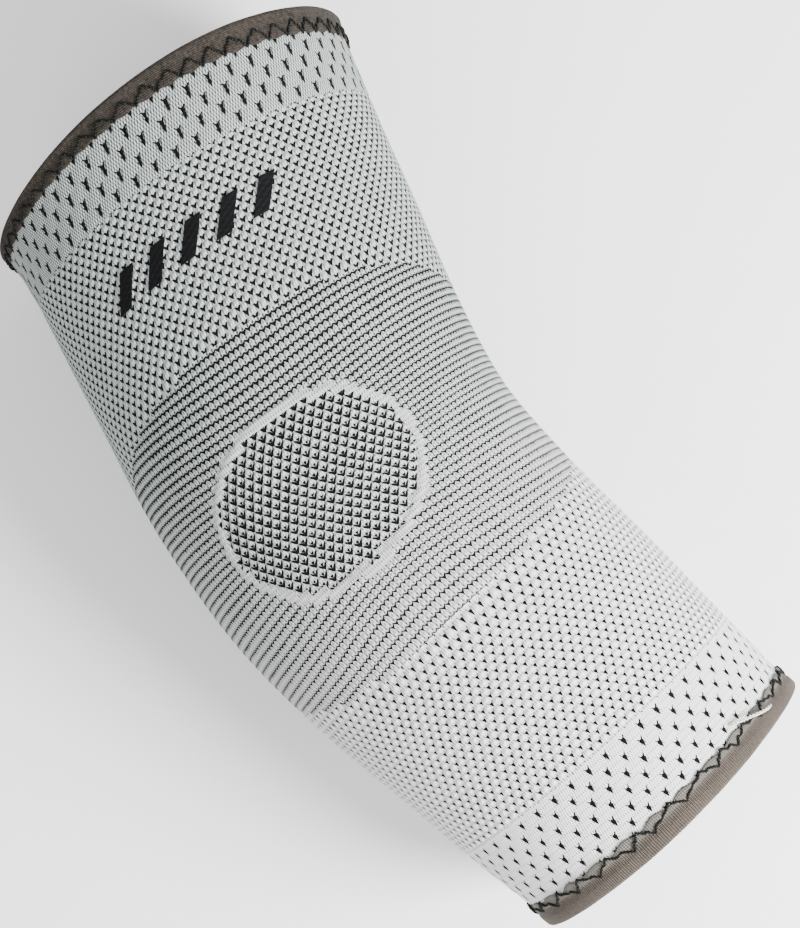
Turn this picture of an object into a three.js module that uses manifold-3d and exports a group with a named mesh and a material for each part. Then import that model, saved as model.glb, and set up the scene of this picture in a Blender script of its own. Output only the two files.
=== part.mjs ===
// Knitted compression sleeve for the elbow, with a pad pocket over the joint, lying on its side.
// Millimetres, +Z up. X runs from the upper arm to the forearm and +Y is the crook of the elbow.
import * as THREE from 'three';
import { mergeVertices } from 'three/addons/utils/BufferGeometryUtils.js';
import Module from 'manifold-3d';

const RAD = Math.PI / 180;
const GAP = 0.3; // clearance between pieces that lie on each other

// The tube: centreline length, and the bend between two places along it.
const LENGTH = 227;
const BEND = 22.5 * RAD;
const BEND_START = 60;
const BEND_END = 159;
const DEPTH_RATIO = 0.855; // depth of the oval section over its width
const FLATTENING = 1.5; // the underside is pressed flat by this much
const FLATTENING_ROUND = 0.8; // how softly the section turns into the flat
const RIM_RISE = 1.1; // the knit rises by this much where the binding tape lies under it
const RIM_RISE_START = 5.6; // all of it up to here from the rim, and none past the next length
const RIM_RISE_LENGTH = 30;
const FLARE = 3; // the upper rim stands off the back of the arm
const FLARE_LENGTH = 10;

// Zone limits along the knit, from the upper rim to the forearm rim.
const UPPER_CUFF_END = 22;
const UPPER_ARM_END = 69.5;
const ELBOW_MIDDLE = 108;
const ELBOW_END = 144.5;
const FOREARM_END = 201;

// The knit's courses are slanted and bowed: "slant" moves the crook side along the arm,
// and "bow" moves the two broad sides along it. "half" is half the width of the section.
const STATIONS = [
  { at: 0, half: 53.0, slant: -9.0, bow: -5.7 },
  { at: UPPER_CUFF_END, half: 52.3, slant: -7.5, bow: -2.0 },
  { at: 73, half: 50.8, slant: -7.5, bow: -3.8 },
  { at: ELBOW_MIDDLE, half: 50.0, slant: -2.5, bow: 1.0 },
  { at: ELBOW_END, half: 49.2, slant: 3.3, bow: 6.4 },
  { at: FOREARM_END, half: 46.3, slant: 4.5, bow: 2.9 },
  { at: LENGTH, half: 44.3, slant: 2.4, bow: 2.3 },
];

// Layers, as distances out from the knit's outer face.
const KNIT = { outer: 0, inner: -1.2 };
const ELASTIC_CENTRE = -1.75;
const ELASTIC_RADIUS = 0.25;
const ELASTIC_PITCH = 12;
const ELASTIC_STEPS_PER_TURN = 24;
const ELASTIC_SIDES = 3;
const PAD = { outer: -2.7, inner: -4.0 };
const POCKET = { outer: -4.3, inner: -5.0 };

// Binding tape: folded over each rim, with a thin lip where it is stitched down.
// "fold" is where its fold closes over the knit's edge, and the other levels round its rim.
const TAPE = {
  lipWidth: 3.5,
  lipSlope: 0.5,
  outer: 1.1,
  lipOuter: 0.55,
  inner: -2.3,
  lipInner: -1.75,
  fold: 1.3,
  rimCorner: 0.7,
  rimOuter: 0.5,
  rimInner: -1.7,
};
// The forearm rim has the wider tape and the longer stitches.
const UPPER_TAPE = { width: 5.6, stitch: 6.1 };
const FOREARM_TAPE = { width: 7.4, stitch: 9.1 };
const THREAD_RADIUS = 0.17;
const NEEDLE_THREAD_LEVEL = 0.93;
const BOBBIN_THREAD_LEVEL = -2.27;
const ZIGZAG_REACH = 3.1;
const ZIGZAG_PAST_TAPE = 0.2; // its inner turns catch the knit just past the tape's edge

// Pad pocket over the joint, as centre, half length along the arm and half width in degrees.
const PATCH = { at: 106.2, angle: 96.5, halfLength: 18.2, halfAngle: 33.5, squareness: 2.1 };
const PATCH_BORDER = 2.1;
const PAD_INSET = 2; // the pad stops this far inside the patch's outline
const LINING_OVERLAP = 2; // the lining that holds the pad runs this far past it
const INK_THICKNESS = 0.2;

const RING_STEPS = 48;
const TAPE_RING_STEPS = 72;
const ZONE_STEP = 13;
const PATCH_RINGS = 4;
const PAD_RINGS = 3;
const WINDOW_REACH = 3; // the window for the patch is cut this far out and in of the knit's face

// ---------------------------------------------------------------- the sleeve's surface

const smooth = (t) => { const c = Math.min(Math.max(t, 0), 1); return c * c * (3 - 2 * c); };

function stationValue(key, at) {
  const last = STATIONS.length - 1;
  const x = Math.min(Math.max(at, 0), LENGTH);
  let i = 0;
  while (i < last - 1 && x > STATIONS[i + 1].at) i += 1;
  const slopeAt = (k) => {
    const before = STATIONS[Math.max(k - 1, 0)];
    const after = STATIONS[Math.min(k + 1, last)];
    return (after[key] - before[key]) / (after.at - before.at);
  };
  const [p, q] = [STATIONS[i], STATIONS[i + 1]];
  const span = q.at - p.at;
  const t = (x - p.at) / span;
  const s = 1 - t;
  return p[key] * s * s * (1 + 2 * t) + q[key] * t * t * (1 + 2 * s)
    + span * (slopeAt(i) * t * s * s - slopeAt(i + 1) * t * t * s);
}

const headingAt = (s) => -BEND / 2 + BEND * smooth((s - BEND_START) / (BEND_END - BEND_START));

const CENTRELINE_STEP = 0.5;
const centreline = [{ x: 0, y: 0 }];
for (let s = 0; s < LENGTH; s += CENTRELINE_STEP) {
  const middle = headingAt(s + CENTRELINE_STEP / 2);
  const previous = centreline[centreline.length - 1];
  centreline.push({
    x: previous.x + CENTRELINE_STEP * Math.cos(middle),
    y: previous.y + CENTRELINE_STEP * Math.sin(middle),
  });
}

function centreAt(s) {
  const inside = Math.min(Math.max(s, 0), LENGTH);
  const i = Math.min(Math.floor(inside / CENTRELINE_STEP), centreline.length - 2);
  const t = inside / CENTRELINE_STEP - i;
  const heading = headingAt(inside);
  const past = s - inside;
  return {
    x: centreline[i].x * (1 - t) + centreline[i + 1].x * t + past * Math.cos(heading),
    y: centreline[i].y * (1 - t) + centreline[i + 1].y * t + past * Math.sin(heading),
    heading,
  };
}

// A point of the sleeve: "at" along the knit, "angle" around it (0 is the crook side, 90 degrees
// the top, 180 degrees the point of the elbow), and "level" out from the knit's outer face.
function sleevePoint(at, angle, level) {
  const across = Math.cos(angle);
  const up = Math.sin(angle);
  const along = at + stationValue('slant', at) * across + stationValue('bow', at) * up * up;
  const centre = centreAt(along);
  const halfWidth = stationValue('half', along);
  const halfDepth = halfWidth * DEPTH_RATIO;
  const flare = FLARE * Math.exp(-Math.max(at, 0) / FLARE_LENGTH) * Math.max(-across, 0);
  const normal = new THREE.Vector2(across / halfWidth, up / halfDepth).normalize();
  const offset = halfWidth * across - flare + level * normal.x;
  const rimDistance = Math.min(at, LENGTH - at);
  const riseLost = smooth((rimDistance - RIM_RISE_START) / (RIM_RISE_LENGTH - RIM_RISE_START));
  const rise = RIM_RISE * (1 - riseLost);
  const height = halfDepth * (1 + up) + level * normal.y;
  const floor = FLATTENING + rise - level;
  const blend = Math.max(FLATTENING_ROUND - Math.abs(height - floor), 0) ** 2 / (4 * FLATTENING_ROUND);
  return new THREE.Vector3(
    centre.x - Math.sin(centre.heading) * offset,
    centre.y + Math.cos(centre.heading) * offset,
    Math.max(height, floor) + blend - FLATTENING,
  );
}

// ---------------------------------------------------------------- solids

function solidFrom(points, triangles) {
  const volume = triangles.reduce((sum, [i, j, k]) => (
    sum + points[i].dot(new THREE.Vector3().crossVectors(points[j], points[k]))), 0);
  const faces = volume > 0 ? triangles : triangles.map(([i, j, k]) => [i, k, j]);
  const geometry = new THREE.BufferGeometry();
  const coordinates = points.flatMap((p) => [p.x, p.y, p.z]);
  geometry.setAttribute('position', new THREE.Float32BufferAttribute(coordinates, 3));
  geometry.setIndex(faces.flat());
  return geometry;
}

// Joins rows of points, each a closed loop of the same count, into a tube. The tube closes on
// itself, or its two end rows are capped by a fan.
function loftedRows(rows, closed) {
  const count = rows[0].length;
  const triangles = [];
  const last = closed ? rows.length : rows.length - 1;
  for (let i = 0; i < last; i += 1) {
    const next = (i + 1) % rows.length;
    for (let j = 0; j < count; j += 1) {
      const k = (j + 1) % count;
      const [a, b, c, d] = [i * count + j, next * count + j, next * count + k, i * count + k];
      triangles.push([a, b, c], [a, c, d]);
    }
  }
  if (!closed) {
    const end = (rows.length - 1) * count;
    for (let j = 1; j < count - 1; j += 1) triangles.push([0, j, j + 1], [end, end + j + 1, end + j]);
  }
  return solidFrom(rows.flat(), triangles);
}

// A ring around the arm: a closed profile of [at, level] points carried round the sleeve.
function ringSolid(profile, steps = RING_STEPS) {
  const rows = [];
  for (let i = 0; i < steps; i += 1) {
    const angle = (i / steps) * 2 * Math.PI;
    rows.push(profile.map(([at, level]) => sleevePoint(at, angle, level)));
  }
  return loftedRows(rows, true);
}

function knitZone(start, end) {
  const pieces = Math.max(1, Math.round((end - start) / ZONE_STEP));
  const places = Array.from({ length: pieces + 1 }, (_, i) => start + ((end - start) * i) / pieces);
  const outer = places.map((at) => [at, KNIT.outer]);
  const inner = places.map((at) => [at, KNIT.inner]).reverse();
  return ringSolid([...outer, ...inner]);
}

// A thread along a path of {at, angle, level} places on the sleeve.
function threadSolid(path, radius, sides, closed) {
  const points = path.map((p) => sleevePoint(p.at, p.angle, p.level));
  const rows = points.map((point, i) => {
    const before = points[closed ? (i + points.length - 1) % points.length : Math.max(i - 1, 0)];
    const after = points[closed ? (i + 1) % points.length : Math.min(i + 1, points.length - 1)];
    const tangent = new THREE.Vector3().subVectors(after, before).normalize();
    const out = sleevePoint(path[i].at, path[i].angle, path[i].level + 1).sub(point).normalize();
    const side = new THREE.Vector3().crossVectors(tangent, out).normalize();
    const normal = new THREE.Vector3().crossVectors(side, tangent);
    return Array.from({ length: sides }, (_, k) => {
      const turn = ((k + 0.5) / sides) * 2 * Math.PI;
      return point.clone()
        .addScaledVector(side, radius * Math.cos(turn))
        .addScaledVector(normal, radius * Math.sin(turn));
    });
  });
  return loftedRows(rows, closed);
}

// One elastic yarn, laid round and round inside a knit zone.
function elasticHelix(start, end) {
  const from = start + ELASTIC_RADIUS + GAP;
  const to = end - ELASTIC_RADIUS - GAP;
  const turns = Math.max(1, Math.round((to - from) / ELASTIC_PITCH));
  const steps = turns * ELASTIC_STEPS_PER_TURN;
  const path = Array.from({ length: steps + 1 }, (_, i) => ({
    at: from + ((to - from) * i) / steps,
    angle: (i / ELASTIC_STEPS_PER_TURN) * 2 * Math.PI,
    level: ELASTIC_CENTRE,
  }));
  return threadSolid(path, ELASTIC_RADIUS, ELASTIC_SIDES, false);
}

// A plate on the sleeve, inside an outline of [at, angle] points that go once around a centre.
function plateSolid(centre, outline, outer, inner, rings = 1) {
  const count = outline.length;
  const scaled = (share) => outline.map(([at, angle]) => [
    centre[0] + (at - centre[0]) * share,
    centre[1] + (angle - centre[1]) * share,
  ]);
  const points = [];
  const triangles = [];
  const addFace = (level) => {
    const first = points.length;
    points.push(sleevePoint(centre[0], centre[1], level));
    for (let ring = 1; ring <= rings; ring += 1) {
      scaled(ring / rings).forEach(([at, angle]) => points.push(sleevePoint(at, angle, level)));
    }
    return first;
  };
  const top = addFace(outer);
  const bottom = addFace(inner);
  for (let j = 0; j < count; j += 1) {
    const k = (j + 1) % count;
    triangles.push([top, top + 1 + j, top + 1 + k], [bottom, bottom + 1 + k, bottom + 1 + j]);
    for (let ring = 1; ring < rings; ring += 1) {
      const [a, b] = [1 + (ring - 1) * count + j, 1 + (ring - 1) * count + k];
      const [c, d] = [a + count, b + count];
      triangles.push([top + a, top + c, top + d], [top + a, top + d, top + b]);
      triangles.push([bottom + a, bottom + d, bottom + c], [bottom + a, bottom + b, bottom + d]);
    }
    const edge = 1 + (rings - 1) * count;
    const [a, b, c, d] = [top + edge + j, top + edge + k, bottom + edge + j, bottom + edge + k];
    triangles.push([a, c, d], [a, d, b]);
  }
  return solidFrom(points, triangles);
}

// The pad pocket's outline, a rounded oblong, grown outwards by "grow" millimetres.
const PATCH_OUTLINE_POINTS = 36;
function patchOutline(grow) {
  const aroundRadius = stationValue('half', PATCH.at);
  const halfLength = PATCH.halfLength + grow;
  const halfAngle = PATCH.halfAngle * RAD + grow / aroundRadius;
  return Array.from({ length: PATCH_OUTLINE_POINTS }, (_, i) => {
    const turn = (i / PATCH_OUTLINE_POINTS) * 2 * Math.PI;
    const [c, s] = [Math.cos(turn), Math.sin(turn)];
    const power = PATCH.squareness;
    const reach = (Math.abs(c) ** power + Math.abs(s) ** power) ** (-1 / power);
    return [PATCH.at + halfLength * reach * c, PATCH.angle * RAD + halfAngle * reach * s];
  });
}
const PATCH_CENTRE = [PATCH.at, PATCH.angle * RAD];

const wasm = await Module();
wasm.setup();

const MERGE_DISTANCE = 1e-4;
function toManifold(geometry) {
  const merged = mergeVertices(geometry, MERGE_DISTANCE);
  const mesh = new wasm.Mesh({
    numProp: 3,
    vertProperties: new Float32Array(merged.getAttribute('position').array),
    triVerts: new Uint32Array(merged.getIndex().array),
  });
  return new wasm.Manifold(mesh);
}

function fromManifold(manifold) {
  const mesh = manifold.getMesh();
  const geometry = new THREE.BufferGeometry();
  const coordinates = new Float32Array(mesh.vertProperties);
  geometry.setAttribute('position', new THREE.BufferAttribute(coordinates, mesh.numProp));
  geometry.setIndex(new THREE.BufferAttribute(new Uint32Array(mesh.triVerts), 1));
  return geometry;
}

const windowOutline = patchOutline(PATCH_BORDER + 2 * GAP);
const pocketWindow = plateSolid(PATCH_CENTRE, windowOutline, WINDOW_REACH, -WINDOW_REACH, PATCH_RINGS);
const withPocketWindow = (zone) => fromManifold(toManifold(zone).subtract(toManifold(pocketWindow)));

// ---------------------------------------------------------------- materials

const knitCloth = (color) => new THREE.MeshStandardMaterial({ color, roughness: 0.9, metalness: 0 });
const paleKnit = knitCloth(0xd9dcda);
const ribbedKnit = knitCloth(0xb9bebc);
const darkKnit = knitCloth(0x8d9190);
const plainKnit = knitCloth(0xe4e6e3);
const taupeTape = knitCloth(0x6f665c);
const blackThread = new THREE.MeshStandardMaterial({ color: 0x1c1c1e, roughness: 0.7, metalness: 0 });
const elasticYarn = new THREE.MeshStandardMaterial({ color: 0xcfd2d0, roughness: 0.6, metalness: 0 });
const padFoam = new THREE.MeshStandardMaterial({ color: 0xdad6cc, roughness: 0.95, metalness: 0 });
const printInk = new THREE.MeshStandardMaterial({ color: 0x141416, roughness: 0.5, metalness: 0 });

// ---------------------------------------------------------------- assembly

const part = new THREE.Group();
const addPiece = (name, geometry, material) => {
  const mesh = new THREE.Mesh(geometry, material);
  mesh.name = name;
  part.add(mesh);
};

// Knit zones. The first and last start inside the fold of their binding tape.
const KNIT_EDGE = TAPE.fold + GAP;
const zones = [
  { name: 'upper_cuff', suffix: '', start: KNIT_EDGE, end: UPPER_CUFF_END, material: paleKnit },
  { name: 'upper_arm', suffix: '', start: UPPER_CUFF_END, end: UPPER_ARM_END, material: paleKnit },
  { name: 'elbow', suffix: '_upper', start: UPPER_ARM_END, end: ELBOW_MIDDLE, material: ribbedKnit },
  { name: 'elbow', suffix: '_lower', start: ELBOW_MIDDLE, end: ELBOW_END, material: ribbedKnit },
  { name: 'forearm', suffix: '', start: ELBOW_END, end: FOREARM_END, material: paleKnit },
  { name: 'forearm_cuff', suffix: '', start: FOREARM_END, end: LENGTH - KNIT_EDGE, material: paleKnit },
];
zones.forEach(({ name, suffix, start, end, material }, i) => {
  const from = start + (i > 0 ? GAP / 2 : 0);
  const to = end - (i < zones.length - 1 ? GAP / 2 : 0);
  const zone = knitZone(from, to);
  addPiece(`${name}_knit${suffix}`, name === 'elbow' ? withPocketWindow(zone) : zone, material);
  const elasticFrom = i > 0 ? start : UPPER_TAPE.width + GAP;
  const elasticTo = i < zones.length - 1 ? end : LENGTH - FOREARM_TAPE.width - GAP;
  addPiece(`${name}_elastic${suffix}`, elasticHelix(elasticFrom, elasticTo), elasticYarn);
});

// Binding tapes, with the two threads of the zigzag lockstitch through each.
function tapeProfile(width) {
  const lipStart = width - TAPE.lipWidth;
  const knitOuter = KNIT.outer + GAP;
  const knitInner = KNIT.inner - GAP;
  return [
    [width, knitOuter], [width, TAPE.lipOuter],
    [lipStart, TAPE.lipOuter], [lipStart - TAPE.lipSlope, TAPE.outer],
    [TAPE.rimCorner, TAPE.outer], [0, TAPE.rimOuter],
    [0, TAPE.rimInner], [TAPE.rimCorner, TAPE.inner],
    [lipStart - TAPE.lipSlope, TAPE.inner], [lipStart, TAPE.lipInner],
    [width, TAPE.lipInner], [width, knitInner],
    [TAPE.fold, knitInner], [TAPE.fold, knitOuter],
  ];
}

function zigzagPath({ width, stitch }, fromRim, level) {
  const circumference = Math.PI * (1 + DEPTH_RATIO) * stationValue('half', fromRim(0));
  const teeth = Math.round(circumference / stitch);
  const innermost = width + ZIGZAG_PAST_TAPE;
  return Array.from({ length: teeth * 2 }, (_, i) => ({
    at: fromRim(i % 2 ? innermost : innermost - ZIGZAG_REACH),
    angle: (i / (teeth * 2)) * 2 * Math.PI,
    level,
  }));
}

// The bartack that closes the tape's join sits on the low side of each rim.
const BARTACK = { angle: -35 * RAD, start: 0.9, length: 1.1, width: 2.2, outer: 1.75, inner: 1.4 };
const rims = [
  { name: 'upper', tape: UPPER_TAPE, fromRim: (distance) => distance },
  { name: 'forearm', tape: FOREARM_TAPE, fromRim: (distance) => LENGTH - distance },
];
rims.forEach(({ name, tape, fromRim }) => {
  const profile = tapeProfile(tape.width).map(([distance, level]) => [fromRim(distance), level]);
  addPiece(`${name}_binding_tape`, ringSolid(profile, TAPE_RING_STEPS), taupeTape);
  const needle = zigzagPath(tape, fromRim, NEEDLE_THREAD_LEVEL);
  addPiece(`${name}_zigzag_needle_thread`, threadSolid(needle, THREAD_RADIUS, 4, true), blackThread);
  const bobbin = zigzagPath(tape, fromRim, BOBBIN_THREAD_LEVEL);
  addPiece(`${name}_zigzag_bobbin_thread`, threadSolid(bobbin, THREAD_RADIUS, 4, true), blackThread);
  const halfAngle = BARTACK.width / 2 / stationValue('half', fromRim(0));
  const end = BARTACK.start + BARTACK.length;
  const corners = [[BARTACK.start, -1], [end, -1], [end, 1], [BARTACK.start, 1]];
  const bartack = corners.map(([distance, side]) => [fromRim(distance), BARTACK.angle + side * halfAngle]);
  const middle = [fromRim((BARTACK.start + end) / 2), BARTACK.angle];
  const tack = plateSolid(middle, bartack, BARTACK.outer, BARTACK.inner);
  addPiece(`${name}_tape_join_bartack`, tack, blackThread);
});

// The pad pocket: its face, the plain border around it, the pad and the lining that holds it.
const patchPlate = (grow, layer, rings) => (
  plateSolid(PATCH_CENTRE, patchOutline(grow), layer.outer, layer.inner, rings));
addPiece('elbow_patch_knit', patchPlate(0, KNIT, PATCH_RINGS), darkKnit);
addPiece('elbow_patch_border', patchBorder(), plainKnit);
addPiece('elbow_pad_insert', patchPlate(-PAD_INSET, PAD, PAD_RINGS), padFoam);
addPiece('elbow_pad_pocket', patchPlate(LINING_OVERLAP, POCKET, PATCH_RINGS), plainKnit);

function patchBorder() {
  const loops = [
    [patchOutline(GAP), KNIT.outer], [patchOutline(GAP + PATCH_BORDER), KNIT.outer],
    [patchOutline(GAP + PATCH_BORDER), KNIT.inner], [patchOutline(GAP), KNIT.inner],
  ];
  const rows = Array.from({ length: PATCH_OUTLINE_POINTS }, (_, i) => (
    loops.map(([outline, level]) => sleevePoint(outline[i][0], outline[i][1], level))));
  return loftedRows(rows, true);
}

// A plain printed mark on the upper arm: five slanted bars.
const BARS = {
  count: 5, at: 39, halfHeight: 4.6, firstAngle: 118, lastAngle: 70, halfAngle: 2.6, lean: 3.2,
};
for (let i = 0; i < BARS.count; i += 1) {
  const angle = BARS.firstAngle + ((BARS.lastAngle - BARS.firstAngle) * i) / (BARS.count - 1);
  const corner = (along, side) => [
    BARS.at + along * BARS.halfHeight,
    (angle + side * BARS.halfAngle + along * BARS.lean) * RAD,
  ];
  const outline = [corner(-1, -1), corner(1, -1), corner(1, 1), corner(-1, 1)];
  const bar = plateSolid([BARS.at, angle * RAD], outline, GAP + INK_THICKNESS, GAP);
  addPiece(`print_bar_${i + 1}`, bar, printInk);
}

// The loose end of the knitting yarn, left lying over the forearm tape.
const TAIL_RADIUS = 0.4;
const tailPath = [
  { at: 217.6, angle: 56 * RAD, level: 0.75 },
  { at: 218.6, angle: 53 * RAD, level: 1.5 },
  { at: 219.9, angle: 49.5 * RAD, level: 2.0 },
  { at: 221.2, angle: 46 * RAD, level: 2.1 },
  { at: 222.3, angle: 42 * RAD, level: 2.1 },
  { at: 222.7, angle: 38.5 * RAD, level: 2.1 },
];
addPiece('yarn_tail', threadSolid(tailPath, TAIL_RADIUS, 6, false), plainKnit);

// The origin is under the middle of the sleeve's box, on the surface that it lies on.
const box = new THREE.Box3().setFromObject(part);
const middle = box.getCenter(new THREE.Vector3());
part.children.forEach((mesh) => mesh.geometry.translate(-middle.x, -middle.y, -box.min.z));

export default part;
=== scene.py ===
"""Looks of the knitted elbow sleeve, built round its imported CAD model.

Blender's objects are in metres, in the row frame. The sleeve's own sizes are in millimetres, as in
the CAD source: "at" runs along the knit from the upper rim, "angle" goes round it (0 is the crook
side, 90 degrees the top, 180 the point of the elbow) and "level" is out from the knit's face.
"""

import math
from functools import partialmethod

import bpy
import numpy as np
from mathutils import Matrix, Vector


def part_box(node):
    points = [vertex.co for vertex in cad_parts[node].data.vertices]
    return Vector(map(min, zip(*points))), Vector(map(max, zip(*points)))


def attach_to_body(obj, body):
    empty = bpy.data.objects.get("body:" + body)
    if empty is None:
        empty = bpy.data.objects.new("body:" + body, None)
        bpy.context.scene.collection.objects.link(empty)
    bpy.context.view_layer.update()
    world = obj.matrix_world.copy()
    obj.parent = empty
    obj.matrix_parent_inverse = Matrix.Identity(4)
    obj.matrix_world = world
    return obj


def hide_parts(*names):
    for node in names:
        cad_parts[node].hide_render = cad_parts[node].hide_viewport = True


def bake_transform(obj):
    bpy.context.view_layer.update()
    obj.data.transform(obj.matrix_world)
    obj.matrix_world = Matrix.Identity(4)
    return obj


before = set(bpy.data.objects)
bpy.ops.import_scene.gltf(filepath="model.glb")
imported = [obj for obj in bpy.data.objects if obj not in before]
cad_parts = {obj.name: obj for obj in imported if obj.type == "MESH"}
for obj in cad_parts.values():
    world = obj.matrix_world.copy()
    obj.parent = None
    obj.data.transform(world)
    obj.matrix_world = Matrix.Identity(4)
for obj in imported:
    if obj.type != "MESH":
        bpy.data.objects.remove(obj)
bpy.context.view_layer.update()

MM = 0.001
RAD = math.pi / 180
TURN = 2 * math.pi

# ---------------------------------------------------------------- driving sizes, as in the CAD

LENGTH = 227.0
BEND = 22.5 * RAD
BEND_START, BEND_END = 60.0, 159.0
DEPTH_RATIO = 0.855
FLATTENING, FLATTENING_ROUND = 1.5, 0.8
RIM_RISE, RIM_RISE_LENGTH = 1.1, 30.0
FLARE, FLARE_LENGTH = 3.0, 10.0

UPPER_CUFF_END = 22.0
UPPER_ARM_END = 69.5
ELBOW_END = 144.5
FOREARM_END = 201.0

#  at, half width, slant and bow of the zone lines
STATIONS = (
    (0.0, 53.0, -9.0, -5.7),
    (UPPER_CUFF_END, 52.3, -7.5, -2.0),
    (73.0, 50.8, -7.5, -3.8),
    (108.0, 50.0, -2.5, 1.0),
    (ELBOW_END, 49.2, 3.3, 6.4),
    (FOREARM_END, 46.3, 4.5, 2.9),
    (LENGTH, 44.3, 2.4, 2.3),
)
HALF, SLANT, BOW = 1, 2, 3

KNIT_INNER = -1.2
RIM_RISE_START = 5.6
TAPE_FOLD = 1.3
GAP = 0.3
PATCH_AT, PATCH_ANGLE = 106.2, 96.5 * RAD
PATCH_HALF_LENGTH, PATCH_HALF_ANGLE, PATCH_SQUARENESS = 18.2, 33.5 * RAD, 2.1
PATCH_BORDER = 2.1

# ---------------------------------------------------------------- the sleeve's surface


def smooth(t):
    t = np.clip(t, 0, 1)
    return t * t * (3 - 2 * t)


def station_value(column, at):
    """A column of STATIONS at any place, by the same smooth curve as the CAD's."""
    table = np.array(STATIONS)
    places, values = table[:, 0], table[:, column]
    x = np.clip(at, 0, LENGTH)
    last = len(places) - 1
    before, after = np.maximum(np.arange(last + 1) - 1, 0), np.minimum(np.arange(last + 1) + 1, last)
    slopes = (values[after] - values[before]) / (places[after] - places[before])
    i = np.clip(np.searchsorted(places, x) - 1, 0, last - 1)
    span = places[i + 1] - places[i]
    t = (x - places[i]) / span
    s = 1 - t
    ends = values[i] * s * s * (1 + 2 * t) + values[i + 1] * t * t * (1 + 2 * s)
    return ends + span * (slopes[i] * t * s * s - slopes[i + 1] * t * t * s)


def heading_at(along):
    return -BEND / 2 + BEND * smooth((along - BEND_START) / (BEND_END - BEND_START))


CENTRELINE_STEP = 0.25
CENTRE_AT = np.arange(0, LENGTH + CENTRELINE_STEP, CENTRELINE_STEP)
_headings = heading_at(CENTRE_AT[:-1] + CENTRELINE_STEP / 2)
CENTRE_X = np.concatenate([[0], np.cumsum(np.cos(_headings))]) * CENTRELINE_STEP
CENTRE_Y = np.concatenate([[0], np.cumsum(np.sin(_headings))]) * CENTRELINE_STEP


def sleeve_points(at, angle, level):
    """Points of the sleeve in millimetres, before the move into the row frame."""
    at, angle, level = np.broadcast_arrays(*(np.asarray(v, float) for v in (at, angle, level)))
    across, up = np.cos(angle), np.sin(angle)
    along = at + station_value(SLANT, at) * across + station_value(BOW, at) * up * up
    inside = np.clip(along, 0, LENGTH)
    heading, past = heading_at(inside), along - inside
    centre_x = np.interp(inside, CENTRE_AT, CENTRE_X) + past * np.cos(heading)
    centre_y = np.interp(inside, CENTRE_AT, CENTRE_Y) + past * np.sin(heading)
    half_width = station_value(HALF, along)
    half_depth = half_width * DEPTH_RATIO
    flare = FLARE * np.exp(-np.maximum(at, 0) / FLARE_LENGTH) * np.maximum(-across, 0)
    normal_x, normal_z = across / half_width, up / half_depth
    length = np.hypot(normal_x, normal_z)
    offset = half_width * across - flare + level * normal_x / length
    height = half_depth * (1 + up) + level * normal_z / length
    rim_distance = np.minimum(at, LENGTH - at)
    rise = RIM_RISE * (1 - smooth((rim_distance - RIM_RISE_START) / (RIM_RISE_LENGTH - RIM_RISE_START)))
    floor = FLATTENING + rise - level
    blend = np.maximum(FLATTENING_ROUND - np.abs(height - floor), 0) ** 2 / (4 * FLATTENING_ROUND)
    return np.stack([
        centre_x - np.sin(heading) * offset,
        centre_y + np.cos(heading) * offset,
        np.maximum(height, floor) + blend - FLATTENING,
    ], -1)


def find_shift():
    """The CAD part is centred on its own box, so one of its nodes tells how far it was moved."""
    steps = np.arange(48) / 48 * TURN
    places = np.linspace(UPPER_CUFF_END + GAP / 2, UPPER_ARM_END - GAP / 2, 5)
    made = sleeve_points(places[:, None], steps[None, :], 0.0).reshape(-1, 3)
    low, high = (np.array(corner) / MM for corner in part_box("upper_arm_knit"))
    shift = (low + high - made.min(0) - made.max(0)) / 2
    return np.array([shift[0], shift[1], 0.0])


SHIFT = find_shift()


def in_frame(at, angle, level):
    """Points of the sleeve in the row frame, in metres."""
    return (sleeve_points(at, angle, level) + SHIFT) * MM


# ---------------------------------------------------------------- the knit's own grid

# A stitch's place in the knit is its wale, which runs along the arm, and its course, which runs
# round it. Wales are counted in columns, courses in millimetres or in rows of this zone's pattern.
COLUMNS = 48
WALE_TURN = ((0, 0), (22, 0), (73, -1), (144.5, -7), (201, -10), (227, -11))  # at, degrees
#  at, and how far the courses on top run ahead of the zone lines there
COURSE_BOW = (
    (0, 0), (40, 0), (63, 2), (76, 5.5), (81, 6), (91, 4.5), (105, 0.8), (120, -4.5),
    (135, -8.5), (144.5, -7.5), (155, -5.5), (172, -4.6), (190, -3), (201, -1.5), (215, 0), (227, 0),
)
KNIT_EDGE = TAPE_FOLD + GAP
#  course, and the number of the row that starts there
ROWS = (
    (KNIT_EDGE, -12), (21.1, 0), (63.4, 26), (71.5, 31), (79.3, 35), (112.1, 51), (138.3, 62),
    (152.9, 69), (199.6, 94), (LENGTH - KNIT_EDGE, 110),
)
ARM_START_ROW, SPLIT_ROW, FOREARM_CUFF_ROW = 0, 73, 94
#  Courses where the elbow's rows start and end on top, and how much further they reach at the sides
ELBOW_ROWS_START, ELBOW_ROWS_END = 63.4, 152.9
ELBOW_START_REACH, ELBOW_END_REACH, ELBOW_REACH_POWER = 16.0, 13.0, 1.3

#  The tighter patch pulls the pattern's rows toward itself: course, and millimetres at the middle
ROW_PULL = (
    (62, 0), (70, 0.7), (78, 1.8), (86, 2.6), (106, 0), (127, -4.0), (138, -3.7), (145, -2.3),
    (151, -1.4), (157, 0),
)
PULL_WALE, PULL_SPREAD = 25.3, 4.2

_turn = np.linspace(-math.pi / 2, 1.5 * math.pi, 2001)
_speed = np.hypot(np.sin(_turn), DEPTH_RATIO * np.cos(_turn))
_travel = np.concatenate([[0], np.cumsum((_speed[1:] + _speed[:-1]) / 2)])
SECTION_ROUND = TURN * _speed[:-1].mean()  # girth of a section over its half width


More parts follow.
